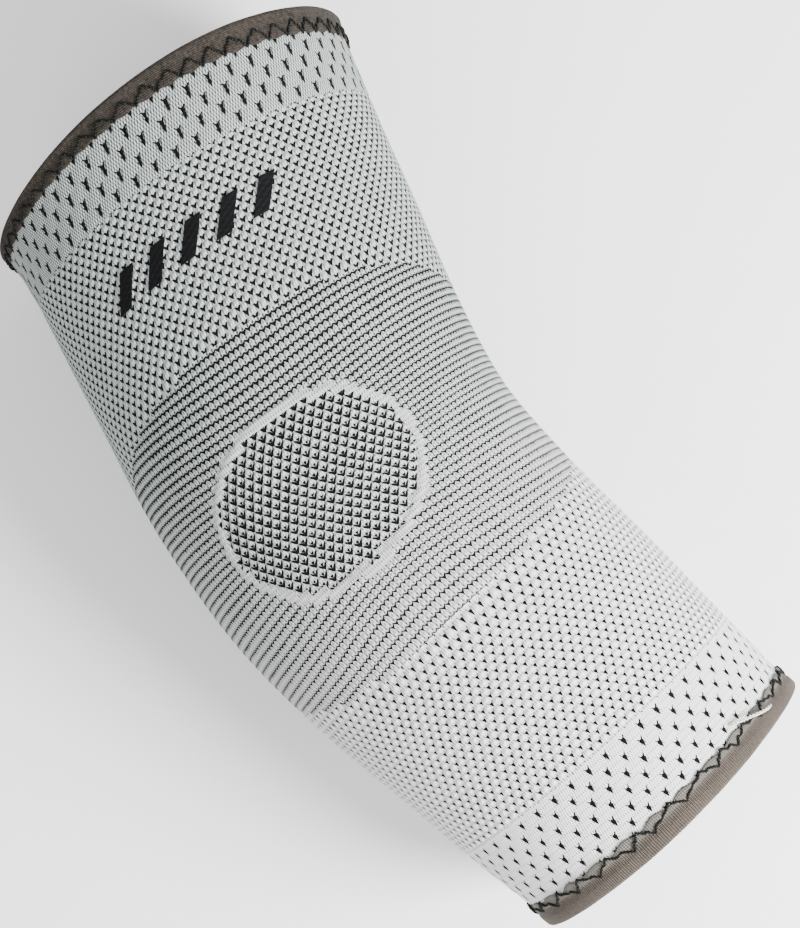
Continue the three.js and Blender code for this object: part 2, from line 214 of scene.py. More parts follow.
def interpolate(table, x, backward=False):
    places, values = np.array(table, float).T
    return np.interp(x, values, places) if backward else np.interp(x, places, values)


def angle_of(share, at):
    """Angle of a wale that is a share of the way round, from the seam line under the sleeve."""
    return np.interp(share, _travel / _travel[-1], _turn) + interpolate(WALE_TURN, at) * RAD


COURSE_STEPS = 14


def at_and_angle(share, course):
    """Where a wale and a course cross."""
    at = np.array(np.broadcast_arrays(course, share)[0], float)
    for _ in range(COURSE_STEPS):
        angle = angle_of(share, at)
        at = course + interpolate(COURSE_BOW, at) * np.sin(angle) ** 2
    return at, angle_of(share, at)


def pattern_row(wale, course):
    """The row of the pattern at a place in the knit."""
    pull = interpolate(ROW_PULL, course) * np.exp(-((wale - PULL_WALE) / PULL_SPREAD) ** 2)
    return interpolate(ROWS, course - pull)


def girth(at):
    return SECTION_ROUND * station_value(HALF, at)


def patch_distance(at, angle):
    """Millimetres outside the patch's outline, or inside where negative."""
    along, around = at - PATCH_AT, angle - PATCH_ANGLE
    around_mm = around * station_value(HALF, PATCH_AT)
    power = PATCH_SQUARENESS
    reach = (np.abs(along / PATCH_HALF_LENGTH) ** power + np.abs(around / PATCH_HALF_ANGLE) ** power)
    reach = np.maximum(reach ** (1 / power), 1e-3)
    return np.hypot(along, around_mm) * (1 - 1 / reach)


def side_reach(angle):
    """0 on the broad sides and 1 on the crook and elbow lines."""
    return (1 - np.abs(np.sin(angle))) ** ELBOW_REACH_POWER


SLOW_WAVE = 0.16

# Each zone's pattern: how many marks lie in a column, where one of them is, its rows, how far the
# cloth bulges between the marks, and how far columns lean. The cuffs and the patch count rows in
# millimetres of course, and the others in the knit's rows.
PATTERNS = {
    "cuff_upper": {"columns": 50 / 48, "phase": 0.637, "pitch": 3.40, "first": 12.16, "bulge": 0.10},
    "dots_upper": {"columns": 2, "phase": 0.31, "pitch": 1.0, "first": 4.0, "bulge": 0.12},
    "elbow": {"columns": 4, "phase": 0.5, "pitch": 1.0, "first": 0.5},
    "patch": {"columns": 2, "phase": 0.02, "pitch": 2.04, "first": 98.2, "bulge": 0.15, "lean": 0.018},
    "dots_forearm": {"columns": 2, "phase": 0.015, "pitch": 1.0, "first": 76.29, "bulge": 0.10},
    "cuff_forearm": {"columns": 47 / 48, "phase": 0.05, "pitch": 3.07, "first": 208.0, "bulge": 0.08},
}
IN_ROWS = ("dots_upper", "elbow", "dots_forearm")
ZONE_SOFT = 0.8  # millimetres over which one zone's relief gives way to the next
ELBOW_RIBS, BORDER_BULGE, PATCH_RISE, PATCH_RISE_OVER = 0.06, 0.30, 0.45, 5
ZONE_GROOVE_WIDTH = 0.9


def slow_waves(at, angle):
    """Millimetres that a loose cloth rises and falls by over its length and round it."""
    wave = np.sin(at / 9.0 + 2.1 * np.sin(angle * 2 + 0.7)) * np.sin(angle * 5 + at / 23.0)
    return SLOW_WAVE * wave


def relief(wale, course, at, angle):
    """Height of the knit's outer face: bumps between the marks, ribs, and slow waves of the cloth."""

    def quilted(name):
        pattern = PATTERNS[name]
        down = ((row if name in IN_ROWS else course) - pattern["first"]) / pattern["pitch"]
        round_it = wale * pattern["columns"] - pattern["phase"]
        waves = np.cos(TURN * (round_it + down / 2)) + np.cos(TURN * (round_it - down / 2))
        return -pattern["bulge"] * waves / 2

    def past(place, limit):
        return smooth((place - limit) / ZONE_SOFT + 0.5)

    def between(start, end):
        return past(course, start) * (1 - past(course, end))

    row = pattern_row(wale, course)
    outside = patch_distance(at, angle)
    in_patch = 1 - past(outside, 0)
    in_border = past(outside, 0) * (1 - past(outside, PATCH_BORDER))
    start = ELBOW_ROWS_START + ELBOW_START_REACH * side_reach(angle)
    end = ELBOW_ROWS_END - ELBOW_END_REACH * side_reach(angle)
    cuff_end, cuff_start = (interpolate(ROWS, k, True) for k in (ARM_START_ROW, FOREARM_CUFF_ROW))
    in_elbow = between(start, end) * (1 - in_patch) * (1 - in_border)
    height = quilted("cuff_upper") * (1 - past(course, cuff_end))
    height += quilted("dots_upper") * between(cuff_end, start)
    height -= ELBOW_RIBS * np.cos(TURN * row) * in_elbow
    height += quilted("patch") * in_patch
    height += BORDER_BULGE * in_border * (1 - ((outside - PATCH_BORDER / 2) / PATCH_BORDER) ** 2)
    height += PATCH_RISE * in_patch * (1 - np.exp(np.minimum(outside, 0) / PATCH_RISE_OVER))
    height += quilted("dots_forearm") * between(end, cuff_start)
    height += quilted("cuff_forearm") * past(course, cuff_start)
    for limit, depth in ((cuff_end, 0.12), (start, 0.10), (end, 0.10)):
        height -= depth * np.exp(-((course - limit) / ZONE_GROOVE_WIDTH) ** 2)
    return height + slow_waves(at, angle)


# ---------------------------------------------------------------- meshes


def new_object(name, vertices, faces, uv_layers=(), materials=(), slots=None, flat_from=None):
    """A mesh object from its vertices in metres. A UV layer is (name, one pair for each corner)."""
    mesh = bpy.data.meshes.new(name)
    mesh.from_pydata(np.asarray(vertices, float).tolist(), [], faces)
    for layer_name, pairs in uv_layers:
        layer = mesh.uv_layers.new(name=layer_name)
        layer.data.foreach_set("uv", np.asarray(pairs, np.float32).ravel())
    for material in materials:
        mesh.materials.append(material)
    if slots is not None:
        mesh.polygons.foreach_set("material_index", np.asarray(slots, np.int32))
    mesh.polygons.foreach_set("use_smooth", np.arange(len(faces)) < (flat_from or len(faces)))
    mesh.update()
    made = bpy.data.objects.new(name, mesh)
    bpy.context.scene.collection.objects.link(made)
    return made


STITCH_COLUMNS = COLUMNS * 4
FINE = 4  # small faces along each side of a stitch on the outer face
BAKE_MARGIN = 0.006


class KnitGrid:
    """Stitch cells between two rows of the knit. Every grid has the same columns, so pieces meet
    vertex to vertex; the outer face is fine enough for its relief and the inner one is coarse."""

    def __init__(self, first_row, last_row):
        self.rows = last_row - first_row
        self.fine_columns = STITCH_COLUMNS * FINE
        rows = np.linspace(first_row, last_row, self.rows * FINE + 1)[:, None]
        shares = (np.arange(self.fine_columns + 1) / self.fine_columns)[None, :]
        self.row, self.wale = np.broadcast_arrays(rows, shares * COLUMNS)
        self.course = interpolate(ROWS, self.row, True)
        self.at, self.angle = at_and_angle(shares, self.course)
        self.outside = patch_distance(self.at, self.angle)

    def centres(self, field):
        return field[FINE // 2::FINE, FINE // 2::FINE]

    def all_cells(self):
        return np.ones((self.rows, STITCH_COLUMNS), bool)

    def flat_area(self, keep):
        """Square millimetres of cloth in the kept cells."""
        tall = np.diff(self.course[::FINE, 0])[:, None]
        wide = self.centres(girth(self.at)) / STITCH_COLUMNS
        return float((keep * tall * wide).sum())

    def outer_face(self, outer):
        """Points of the outer face and their normals, which look past the grid's own edges."""
        step = self.row[1, 0] - self.row[0, 0]
        row = np.concatenate([self.row[:1] - step, self.row, self.row[-1:] + step])
        wale = np.concatenate([self.wale[:1], self.wale, self.wale[:1]])
        course = interpolate(ROWS, row, True)
        for (course_at_end, end_row), past in ((ROWS[0], row < ROWS[0][1]), (ROWS[-1], row > ROWS[-1][1])):
            course = np.where(past, course_at_end + row - end_row, course)
        at, angle = at_and_angle(wale / COLUMNS, course)
        if outer is None:
            level = relief(wale, course, at, angle)
        else:
            level = np.concatenate([outer[:1], outer, outer[-1:]])
        points = in_frame(at, angle, level)[:, :self.fine_columns]
        round_it = np.roll(points, -1, 1) - np.roll(points, 1, 1)
        along = points[2:] - points[:-2]
        normals = np.cross(along, round_it[1:-1])
        outward = in_frame(at, angle, level + 1)[:, :self.fine_columns] - points
        normals *= np.sign((normals * outward[1:-1]).sum(2, keepdims=True))
        normals /= np.linalg.norm(normals, axis=2, keepdims=True)
        return points[1:-1].reshape(-1, 3), normals.reshape(-1, 3)

    def piece(self, name, materials, keep, outer=None, inner=KNIT_INNER):
        """A closed sheet of the kept cells: quads outside and inside, and a wall at every edge."""
        columns = self.fine_columns
        top, normals = self.outer_face(outer)
        coarse_at, coarse_angle = self.at[::FINE, ::FINE], self.angle[::FINE, ::FINE]
        under = inner if np.ndim(inner) == 0 else inner[::FINE, ::FINE]
        bottom = in_frame(coarse_at, coarse_angle, under)[:, :STITCH_COLUMNS].reshape(-1, 3)

        # corners of each face: fine row, fine column and whether it is on the inner face
        square = np.array([(0, 0), (0, 1), (1, 1), (1, 0)])
        fine_cells = np.argwhere(np.kron(keep, np.ones((FINE, FINE), bool)))
        outer_faces = fine_cells[:, None] + square
        inner_faces = (np.argwhere(keep)[:, None] + square[[0, 3, 2, 1]]) * FINE
        corners = [
            np.pad(faces, ((0, 0), (0, 0), (0, 1)), constant_values=on_inner)
            for on_inner, faces in enumerate((outer_faces, inner_faces))]
        row_step, column_step = np.array([1, 0]), np.array([0, 1])
        padded = np.pad(keep, ((1, 1), (0, 0)))
        sides = (
            (padded[:-2], (0, 1), -column_step), (padded[2:], (1, 0), column_step),
            (np.roll(keep, 1, 1), (0, 0), row_step), (np.roll(keep, -1, 1), (1, 1), -row_step),
        )
        for neighbour, (down, right), step in sides:
            first = (np.argwhere(keep & ~neighbour) + [down, right]) * FINE
            walls = np.stack([first + step * k for k in (*range(FINE + 1), FINE, 0)], 1)
            on_inner = np.arange(FINE + 3) > FINE
            corners.append(np.dstack([walls, np.broadcast_to(on_inner, walls.shape[:2])]))

        flat = np.concatenate([group.reshape(-1, 3) for group in corners])
        outer_index = flat[:, 0] * columns + flat[:, 1] % columns
        inner_index = len(top) + flat[:, 0] // FINE * STITCH_COLUMNS + flat[:, 1] // FINE % STITCH_COLUMNS
        index = np.where(flat[:, 2] == 1, inner_index, outer_index)
        used, index = np.unique(index, return_inverse=True)
        faces, done = [], 0
        for group in corners:
            count = group.shape[0] * group.shape[1]
            faces += index[done:done + count].reshape(group.shape[:2]).tolist()
            done += count

        place = (flat[:, 0], flat[:, 1])
        knit = np.stack([self.wale[place], self.course[place]], 1)
        rows = np.stack([pattern_row(*knit.T), self.outside[place]], 1)
        slots = np.concatenate([np.full(len(group), min(k, 1)) for k, group in enumerate(corners)])
        made = new_object(
            name, np.concatenate([top, bottom])[used], faces,
            [("knit", knit), ("rows", rows), ("OFBake", self.bake_layout(corners, keep))],
            materials, slots, flat_from=len(corners[0]) + len(corners[1]))
        own = np.zeros((len(flat), 3))
        outer_corners = corners[0].shape[0] * 4
        own[:outer_corners] = normals[outer_index[:outer_corners]]
        made.data.normals_split_custom_set(own.tolist())
        return made

    def bake_layout(self, corners, keep):
        """Outer face in one or two wide strips, the inner face in a low one, the walls in a thin one."""
        rows, columns = np.nonzero(keep.any(1))[0], np.nonzero(keep.any(0))[0]
        low = np.array([rows[0], columns[0]]) * FINE
        size = (np.array([rows[-1], columns[-1]]) + 1) * FINE - low
        strips = 2 if size[1] == self.fine_columns else 1
        across = 1 - 2 * BAKE_MARGIN
        tall, inner_low, inner_high, wall_low, wall_high = 0.80 / strips, 0.82, 0.95, 0.965, 0.985
        pairs = []
        for k, group in enumerate(corners):
            share = (group[:, :, :2] - low) / size
            if k == 0:
                strip = np.minimum(share[:, :, 1].min(1) * strips, strips - 0.5).astype(int)[:, None]
                x = share[:, :, 1] * strips - strip
                y = (strip + BAKE_MARGIN + share[:, :, 0] * (1 - 4 * BAKE_MARGIN)) * tall
            elif k == 1:
                x = share[:, :, 1]
                y = inner_low + share[:, :, 0] * (inner_high - inner_low)
            else:
                x = share.mean(2)
                y = np.where(group[:, :, 2] == 1, wall_low, wall_high)
            pairs.append(np.stack([BAKE_MARGIN + x * across, y], 2).reshape(-1, 2))
        return np.concatenate(pairs)


def tube_object(name, centres, outs, radius, sides, materials, closed, strips=1):
    """A round thread along points in metres. "outs" point away from the arm; its UV layer "thread"
    is millimetres along it and turns around it."""
    centres, outs = np.asarray(centres), np.asarray(outs)
    count = len(centres)
    if closed:
        tangents = np.roll(centres, -1, 0) - np.roll(centres, 1, 0)
    else:
        tangents = np.gradient(centres, axis=0)
    tangents /= np.linalg.norm(tangents, axis=1, keepdims=True)
    side = np.cross(tangents, outs)
    side /= np.linalg.norm(side, axis=1, keepdims=True)
    normal = np.cross(side, tangents)
    turn = np.arange(sides) / sides * TURN
    radii = np.broadcast_to(np.asarray(radius, float) * MM, (count,))[:, None, None]
    ring = side[:, None] * np.cos(turn)[None, :, None] + normal[:, None] * np.sin(turn)[None, :, None]
    vertices = (centres[:, None] + ring * radii).reshape(-1, 3)
    steps = np.linalg.norm(np.diff(centres, axis=0, append=centres[:1]), axis=1) / MM
    along = np.concatenate([[0], np.cumsum(steps)])
    faces, pairs, bake = [], [], []
    rings = count if closed else count - 1
    for i in range(rings):
        strip = i * strips // rings
        left, right = ((i + k) * strips / rings - strip for k in (0, 1))
        for j in range(sides):
            after, beside = (i + 1) % count, (j + 1) % sides
            faces.append([i * sides + j, i * sides + beside, after * sides + beside, after * sides + j])
            pairs += [(along[i], j / sides), (along[i], (j + 1) / sides),
                      (along[i + 1], (j + 1) / sides), (along[i + 1], j / sides)]
            low, high = ((strip + 0.04 + 0.9 * (j + k) / sides) / strips for k in (0, 1))
            bake += [(left, low), (left, high), (right, high), (right, low)]
    if not closed:
        ends = [list(range(sides))[::-1], [(count - 1) * sides + j for j in range(sides)]]
        faces += ends
        pairs += [(0, 0)] * sides + [(along[-2], 0)] * sides
        bake += [(0.001, 0.001)] * (2 * sides)
    made = new_object(name, vertices, faces, [("thread", pairs), ("OFBake", bake)], materials)
    if Vector(made.data.polygons[0].normal).dot(Vector(vertices[0] - centres[0])) < 0:
        made.data.flip_normals()
    return made


def sleeve_thread(name, path, radius, sides, materials, closed=False, strips=1):
    """A thread along rows of at, angle and level."""
    at, angle, level = np.asarray(path, float).T
    centres = in_frame(at, angle, level)
    outs = in_frame(at, angle, level + 1) - centres
    return tube_object(name, centres, outs, radius, sides, materials, closed, strips)


# ---------------------------------------------------------------- shader arithmetic


class Field:
    """A number that varies over a surface. Arithmetic on it adds Math nodes to its node tree."""

    def __init__(self, tree, socket):
        self.tree, self.socket = tree, socket

    def math(self, operation, *others, clamped=False):
        node = self.tree.nodes.new("ShaderNodeMath")
        node.operation, node.use_clamp = operation, clamped
        for slot, value in enumerate((self, *others)):
            if isinstance(value, Field):
                self.tree.links.new(value.socket, node.inputs[slot])
            else:
                node.inputs[slot].default_value = value
        return Field(self.tree, node.outputs[0])

    __add__ = partialmethod(math, "ADD")
    __sub__ = partialmethod(math, "SUBTRACT")
    __mul__ = partialmethod(math, "MULTIPLY")
    __neg__ = partialmethod(math, "MULTIPLY", -1.0)
    square_root = partialmethod(math, "SQRT")
    absolute = partialmethod(math, "ABSOLUTE")
    nearest = partialmethod(math, "ROUND")
    larger = partialmethod(math, "MAXIMUM")

    def cosine_of_turns(self):
        return self.math("MULTIPLY", TURN).math("COSINE")

    def fades_over(self, reach):
        """1 where it is 0, falling to 0 at the reach."""
        return self.math("MULTIPLY_ADD", -1 / reach, 1.0, clamped=True)

    def step_up(self, edge, soft):
        """0 below the edge and 1 above it, over a soft width."""
        return self.math("MULTIPLY_ADD", 1 / soft, 0.5 - edge / soft, clamped=True)


def stroke(x, y, start, end):
    """Millimetres inside a tapered stroke, whose two ends are given as x, y and radius."""
    (ax, ay, start_radius), (bx, by, end_radius) = start, end
    dx, dy = bx - ax, by - ay
    squared = dx * dx + dy * dy
    px, py = x - ax, y - ay
    t = px.math("MULTIPLY_ADD", dx / squared, py * (dy / squared), clamped=True)
    qx, qy = t.math("MULTIPLY_ADD", -dx, px), t.math("MULTIPLY_ADD", -dy, py)
    distance = qx.math("MULTIPLY_ADD", qx, qy * qy).square_root()
    return t.math("MULTIPLY_ADD", end_radius - start_radius, start_radius) - distance


def strokes(x, y, shapes):
    inside = stroke(x, y, *shapes[0])
    for shape in shapes[1:]:
        inside = inside.larger(stroke(x, y, *shape))
    return inside


class Shader:
    """A new material with its Principled shader, and short ways to make the nodes it needs."""

    def __init__(self, name, roughness=0.9, specular=0.06):
        self.material = bpy.data.materials.new(name)
        self.material.use_nodes = True
        self.tree = self.material.node_tree
        self.principled = self.tree.nodes["Principled BSDF"]
        self.principled.inputs["Roughness"].default_value = roughness
        self.principled.inputs["Specular IOR Level"].default_value = specular

    def link(self, source, target):
        self.tree.links.new(source, target)

    def uv(self, layer):
        """The two numbers of a UV layer."""
        node = self.tree.nodes.new("ShaderNodeUVMap")
        node.uv_map = layer
        apart = self.tree.nodes.new("ShaderNodeSeparateXYZ")
        self.link(node.outputs["UV"], apart.inputs[0])
        return Field(self.tree, apart.outputs[0]), Field(self.tree, apart.outputs[1])

    def noise(self, scale, detail):
        """Noise in the row frame, from 0 to 1; scale is in features to the metre."""
        place = self.tree.nodes.new("ShaderNodeTexCoord")
        node = self.tree.nodes.new("ShaderNodeTexNoise")
        node.inputs["Scale"].default_value = scale
        node.inputs["Detail"].default_value = detail
        self.link(place.outputs["Object"], node.inputs["Vector"])
        return Field(self.tree, node.outputs["Fac"])

    def cell_noise(self, column, row):
        """A number from 0 to 1 for each stitch cell."""
        together = self.tree.nodes.new("ShaderNodeCombineXYZ")
        node = self.tree.nodes.new("ShaderNodeTexWhiteNoise")
        self.link(column.socket, together.inputs[0])
        self.link(row.socket, together.inputs[1])
        self.link(together.outputs[0], node.inputs["Vector"])
        return Field(self.tree, node.outputs["Value"])

    def mix(self, share, first, second):
        """A colour between two others; each is a colour or the socket of one."""
        node = self.tree.nodes.new("ShaderNodeMix")
        node.data_type = "RGBA"
        self.link(share.socket, node.inputs["Factor"])
        for name, value in (("A", first), ("B", second)):
            socket = next(s for s in node.inputs if s.name == name and s.type == "RGBA")
            if isinstance(value, tuple):
                socket.default_value = (*value, 1)
            else:
                self.link(value, socket)
        return next(s for s in node.outputs if s.type == "RGBA")

    def scaled(self, colour, amount):
        node = self.tree.nodes.new("ShaderNodeVectorMath")
        node.operation = "SCALE"
        self.link(colour, node.inputs[0])
        self.link(amount.socket, node.inputs["Scale"])
        return node.outputs[0]

    def finish(self, colour, height=None, depth=0.0):
        """The material, with bumps of a depth in millimetres where a height is given."""
        self.link(colour, self.principled.inputs["Base Color"])
        if height is not None:
            bump = self.tree.nodes.new("ShaderNodeBump")
            bump.inputs["Distance"].default_value = depth * MM
            self.link(height.socket, bump.inputs["Height"])
            self.link(bump.outputs["Normal"], self.principled.inputs["Normal"])
        return self.material


# ---------------------------------------------------------------- knit materials

BLACK_YARN = (0.0040, 0.0040, 0.0045)
# The upper arm's end of the yarn has a cooler tint, and is much darker than the forearm's end as painted
# shade, where it lies away from the key light.
COOL_WHITE_PAINTED_SHADE = (0.560, 0.620, 0.595)
WARM_WHITE = (0.86, 0.86, 0.85)

# Marks are tapered strokes, each from x, y and radius to x, y and radius, in millimetres. x runs
# across the wales and y to the forearm. "lines" are mostly thinner, and are shaded less.
MARKS = {
    "cuff_upper": {
        "solid": (
            ((0.0, -0.75, 0.56), (0.0, 0.1, 0.30)), ((0.0, 0.25, 0.55), (0.03, 1.40, 0.10)),
            ((-0.1, -0.8, 0.28), (-0.95, -1.75, 0.16)), ((0.1, -0.8, 0.26), (0.85, -1.6, 0.14)),
        ),
        "lines": (((-0.90, -1.6, 0.24), (-0.3, 0.9, 0.12)), ((0.8, -0.2, 0.18), (0.2, 1.0, 0.10))),
    },
    "cuff_forearm": {
        "solid": (
            ((0.0, -0.20, 0.62), (0.14, 1.05, 0.10)), ((-0.1, -0.3, 0.28), (-0.90, -1.30, 0.11)),
            ((0.1, -0.3, 0.24), (0.60, -1.15, 0.09)),
        ),
        "lines": (((-0.3, 0.1, 0.18), (-0.75, 0.5, 0.08)), ((0.3, 0.1, 0.18), (0.75, 0.35, 0.08))),
    },
    "dots_upper": {
        "solid": (
            ((-0.36, -0.32, 0.22), (0.0, 0.46, 0.14)), ((0.36, -0.32, 0.22), (0.0, 0.46, 0.14)),
            ((0.0, -0.18, 0.38), (0.0, 0.22, 0.24)),
        ),
        "lines": (((-0.1, 0.0, 0.30), (-0.95, -1.25, 0.20)), ((0.1, 0.0, 0.30), (0.95, -1.25, 0.20))),
    },
    "dots_forearm": {
        "solid": (
            ((-0.25, -0.28, 0.24), (0.0, 0.58, 0.12)), ((0.25, -0.28, 0.23), (0.0, 0.58, 0.12)),
            ((0.0, -0.14, 0.37), (0.0, 0.30, 0.20)),
        ),
        "lines": (((-0.1, 0.0, 0.20), (-1.0, -1.35, 0.13)), ((0.1, 0.0, 0.18), (0.9, -1.3, 0.11))),
    },
    "elbow": {
        "solid": (
            ((-0.72, -0.42, 0.15), (0.0, 0.16, 0.29)), ((0.0, 0.16, 0.29), (0.72, -0.42, 0.14)),
            ((0.0, 0.05, 0.31), (0.0, 0.42, 0.18)),
        ),
        "lines": (((0.0, -0.80, 0.20), (0.0, -0.50, 0.08)), ((-0.76, -0.4, 0.12), (-0.76, 0.4, 0.08))),
    },
    "patch": {
        "solid": (
            ((0.0, -0.82, 0.44), (0.0, -0.20, 0.12)), ((-0.98, -0.50, 0.24), (0.0, 0.52, 0.44)),
            ((0.0, 0.52, 0.44), (0.94, -0.60, 0.26)),
        ),
        "lines": (((-0.95, -0.42, 0.22), (-1.3, -1.0, 0.12)), ((0.90, -0.52, 0.22), (1.25, -1.05, 0.12))),
    },
}
MARK_EDGE = 0.13
MARK_WANDER = 0.14
MARK_GROWTH = 0.06
LINE_SHADE = 0.6
STITCHES_IN_COLUMN = 8
FIBRES = 2600  # to the metre
FLOATS_IN_COLUMN, FLOAT_TALL = 4, 1.7  # of the dark yarn on the back
STITCH_TALL, PLAIN_STITCH_TALL = 1.65, 1.5  # two courses, where rows are not counted
RIBBED_GROUND, LOOPED_GROUND = 0.55, 0.2  # share of upright ribs in the ground
LIGHTER_WARMER_FROM, LIGHTER_WARMER_OVER = 125.0, 110.0  # middle and length of the change from cool yarn, darkened by painted shade, to the lighter warm yarn
BUMP_OUTLINE, BUMP_HOLLOW, BUMP_SHADE = 0.16, 0.22, 0.8  # two radii in millimetres, and how dark the painted shade is in the crease round each bump and in its hollow


def lattice(wale, row_place, pattern, width, tall):
    """Place in the nearest cell of a staggered pattern, in millimetres, and its column and row."""
    down = (row_place - pattern["first"]) * (1 / pattern["pitch"])
    row = down.nearest()
    y = (down - row) * tall
    along = wale * pattern["columns"] - pattern["phase"]
    if "lean" in pattern:
        along = row_place.math("MULTIPLY_ADD", -pattern["lean"], along + pattern["lean"] * pattern["first"])
    if pattern["columns"] < 4:
        along = row.math("MULTIPLY_ADD", 0.5, along)
    column = along.nearest()
    return (along - column) * width, y, column, row


def ground_stitches(wale, row_place, tall, ribs=RIBBED_GROUND):
    """1 in the holes and grooves between the plain stitches and -1 on the yarn between them."""
    down, round_it = row_place * (1 / tall), wale * STITCHES_IN_COLUMN
    holes = ((round_it + down).cosine_of_turns() + (round_it - down).cosine_of_turns()) * 0.5
    return holes * (1 - ribs) + round_it.cosine_of_turns() * ribs


def knit_material(
        name, zone, at, tall, bumps=0.0, shade_lines=LINE_SHADE, grooves=0.62, groove_edge=0.0, fade=0.0):
    """Pale yarn in fine plain stitches with a zone's dark marks. Tall is the height of its rows, and
    fade is how many millimetres the marks shrink from the upper arm to the forearm."""
    shader = Shader(name)
    pattern = PATTERNS[zone]
    wale, course = shader.uv("knit")
    row_place, _ = shader.uv("rows")
    width = float(girth(at)) / COLUMNS / pattern["columns"]
    used = row_place if zone in IN_ROWS else course
    x, y, column, row = lattice(wale, used, pattern, width, tall)
    chance, other_chance = shader.cell_noise(column, row), shader.cell_noise(row, column)
    x, y = x - (chance - 0.5) * MARK_WANDER, y - (other_chance - 0.5) * MARK_WANDER
    growth = (other_chance - 0.5) * MARK_GROWTH
    toward_forearm = course.step_up(LIGHTER_WARMER_FROM, LIGHTER_WARMER_OVER)
    if fade:
        growth = growth + (-toward_forearm + 0.4) * fade
    solid = (strokes(x, y, MARKS[zone]["solid"]) + growth).step_up(0.0, MARK_EDGE)
    lines = (strokes(x, y, MARKS[zone]["lines"]) + growth).step_up(0.0, MARK_EDGE) * shade_lines
    dark = solid.larger(lines)
    ribs = LOOPED_GROUND if zone.startswith("cuff") else RIBBED_GROUND
    holes = ground_stitches(wale, used, 1 if zone in IN_ROWS else STITCH_TALL, ribs)
    # Painted shade in the holes and grooves between the stitches: grooves is how dark it gets, and
    # groove_edge is where it starts.
    painted_shade = holes.step_up(groove_edge, 0.9)
    height = holes * -0.5
    if bumps:
        bump_row = used + 0.5 if zone == "elbow" else used
        bx, by, _, _ = lattice(wale + 0.5 / pattern["columns"], bump_row, pattern, width, tall)
        distance = bx.math("MULTIPLY_ADD", bx, by * by).square_root()
        # Painted shade in the crease round each bump and in the hollow at its middle, with less painted
        # shade on the dome.
        outline = (distance - bumps).absolute().fades_over(BUMP_OUTLINE)
        hollow, dome = distance.fades_over(BUMP_HOLLOW), distance.fades_over(bumps)
        painted_shade = (painted_shade * (dome * -0.5 + 1.0)).larger(outline * BUMP_SHADE).larger(hollow * BUMP_SHADE)
        height = height * 0.6 + dome * 1.5
    fibres, blotches = shader.noise(FIBRES, 3.0), shader.noise(60, 3.0)
    # Painted shade: the yarn gets darker towards the upper arm, as well as cooler.
    yarn = shader.mix(toward_forearm, COOL_WHITE_PAINTED_SHADE, WARM_WHITE)
    shade = (fibres * 0.2 + 0.80) * (blotches * 0.10 + 0.92) * (-(painted_shade * grooves) + 1.0)
    colour = shader.mix(dark, shader.scaled(yarn, shade), BLACK_YARN)
    return shader.finish(colour, height + fibres * 0.5 - dark * 1.4, 0.24)


def plain_knit_material(name, tint):
    """Pale plain stitches with no marks."""
    shader = Shader(name)
    wale, course = shader.uv("knit")
    holes = ground_stitches(wale, course, PLAIN_STITCH_TALL)
    columns = (wale * (2 * STITCHES_IN_COLUMN)).cosine_of_turns()
    fibres, blotches = shader.noise(FIBRES, 3.0), shader.noise(70, 3.0)
    # Painted shade in the gaps between the stitches.
    painted_gap_shade = holes.step_up(0.25, 0.7) * 0.6
    shade = (fibres * 0.2 + 0.80) * (blotches * 0.12 + 0.9) * (-painted_gap_shade + 1.0)
    colour = shader.mix(shade, tuple(0.1 * value for value in tint), tint)
    return shader.finish(colour, holes * -0.8 + columns * 0.3 + fibres * 0.5, 0.26)


def inside_knit_material():
    """The back of the cloth, where the dark yarn floats behind the pale one in broken lines."""
    shader = Shader("sleeve_inside")
    wale, course = shader.uv("knit")
    ribs = (wale * STITCHES_IN_COLUMN).cosine_of_turns()
    down = course * (1 / FLOAT_TALL)
    floats = down.cosine_of_turns()
    broken = shader.cell_noise((wale * FLOATS_IN_COLUMN).nearest(), down.nearest())
    dark = floats.step_up(0.55, 0.5) * broken.step_up(0.35, 0.2) * 0.6
    fibres = shader.noise(2200, 3.0)
    yarn = shader.mix(fibres * 0.4 + 0.5, (0.34, 0.35, 0.34), (0.70, 0.71, 0.70))
    colour = shader.mix(dark, yarn, (0.10, 0.10, 0.105))
    return shader.finish(colour, ribs * 0.6 + floats * 0.5 + fibres * 0.6, 0.25)


# ---------------------------------------------------------------- other materials


PICK_PITCH = 0.42


def tape_material(name, light, dark, rib_pitch, slant, speckle, edge_tint, edge_from):
    """Woven binding: fine ribs across the tape, dull threads, and a paler raw edge past the seam."""
    shader = Shader(name, roughness=0.75, specular=0.10)
    along, across = shader.uv("cloth")
    ribs = ((along + across * slant) * (1 / rib_pitch)).cosine_of_turns()
    picks = (across * (1 / PICK_PITCH)).cosine_of_turns()
    fibres = shader.noise(1300, 4.0)
    wear = shader.noise(90, 3.0)
    weave = ribs * 0.30 + picks * 0.10 + (fibres - 0.5) * speckle + (wear - 0.5) * 0.7
    colour = shader.mix(weave.math("MULTIPLY_ADD", 0.5, 0.5, clamped=True), dark, light)
    raw = across.step_up(edge_from, 0.6)
    colour = shader.mix(raw * 0.75, colour, edge_tint)
    return shader.finish(colour, ribs + picks * 0.5 + fibres * 0.9, 0.10)


def thread_material(name, colour, highlight, twist_pitch):
    """Twisted sewing thread or yarn: slanted plies round the thread."""
    shader = Shader(name, roughness=0.7, specular=0.06)
    along, around = shader.uv("thread")
    plies = (along * (1 / twist_pitch) + around * 2.0).cosine_of_turns()
    fibres = shader.noise(3000, 2.0)
    mixed = shader.mix((plies * 0.35 + fibres * 0.3 + 0.35), colour, highlight)
    return shader.finish(mixed, plies + fibres * 0.4, 0.10)


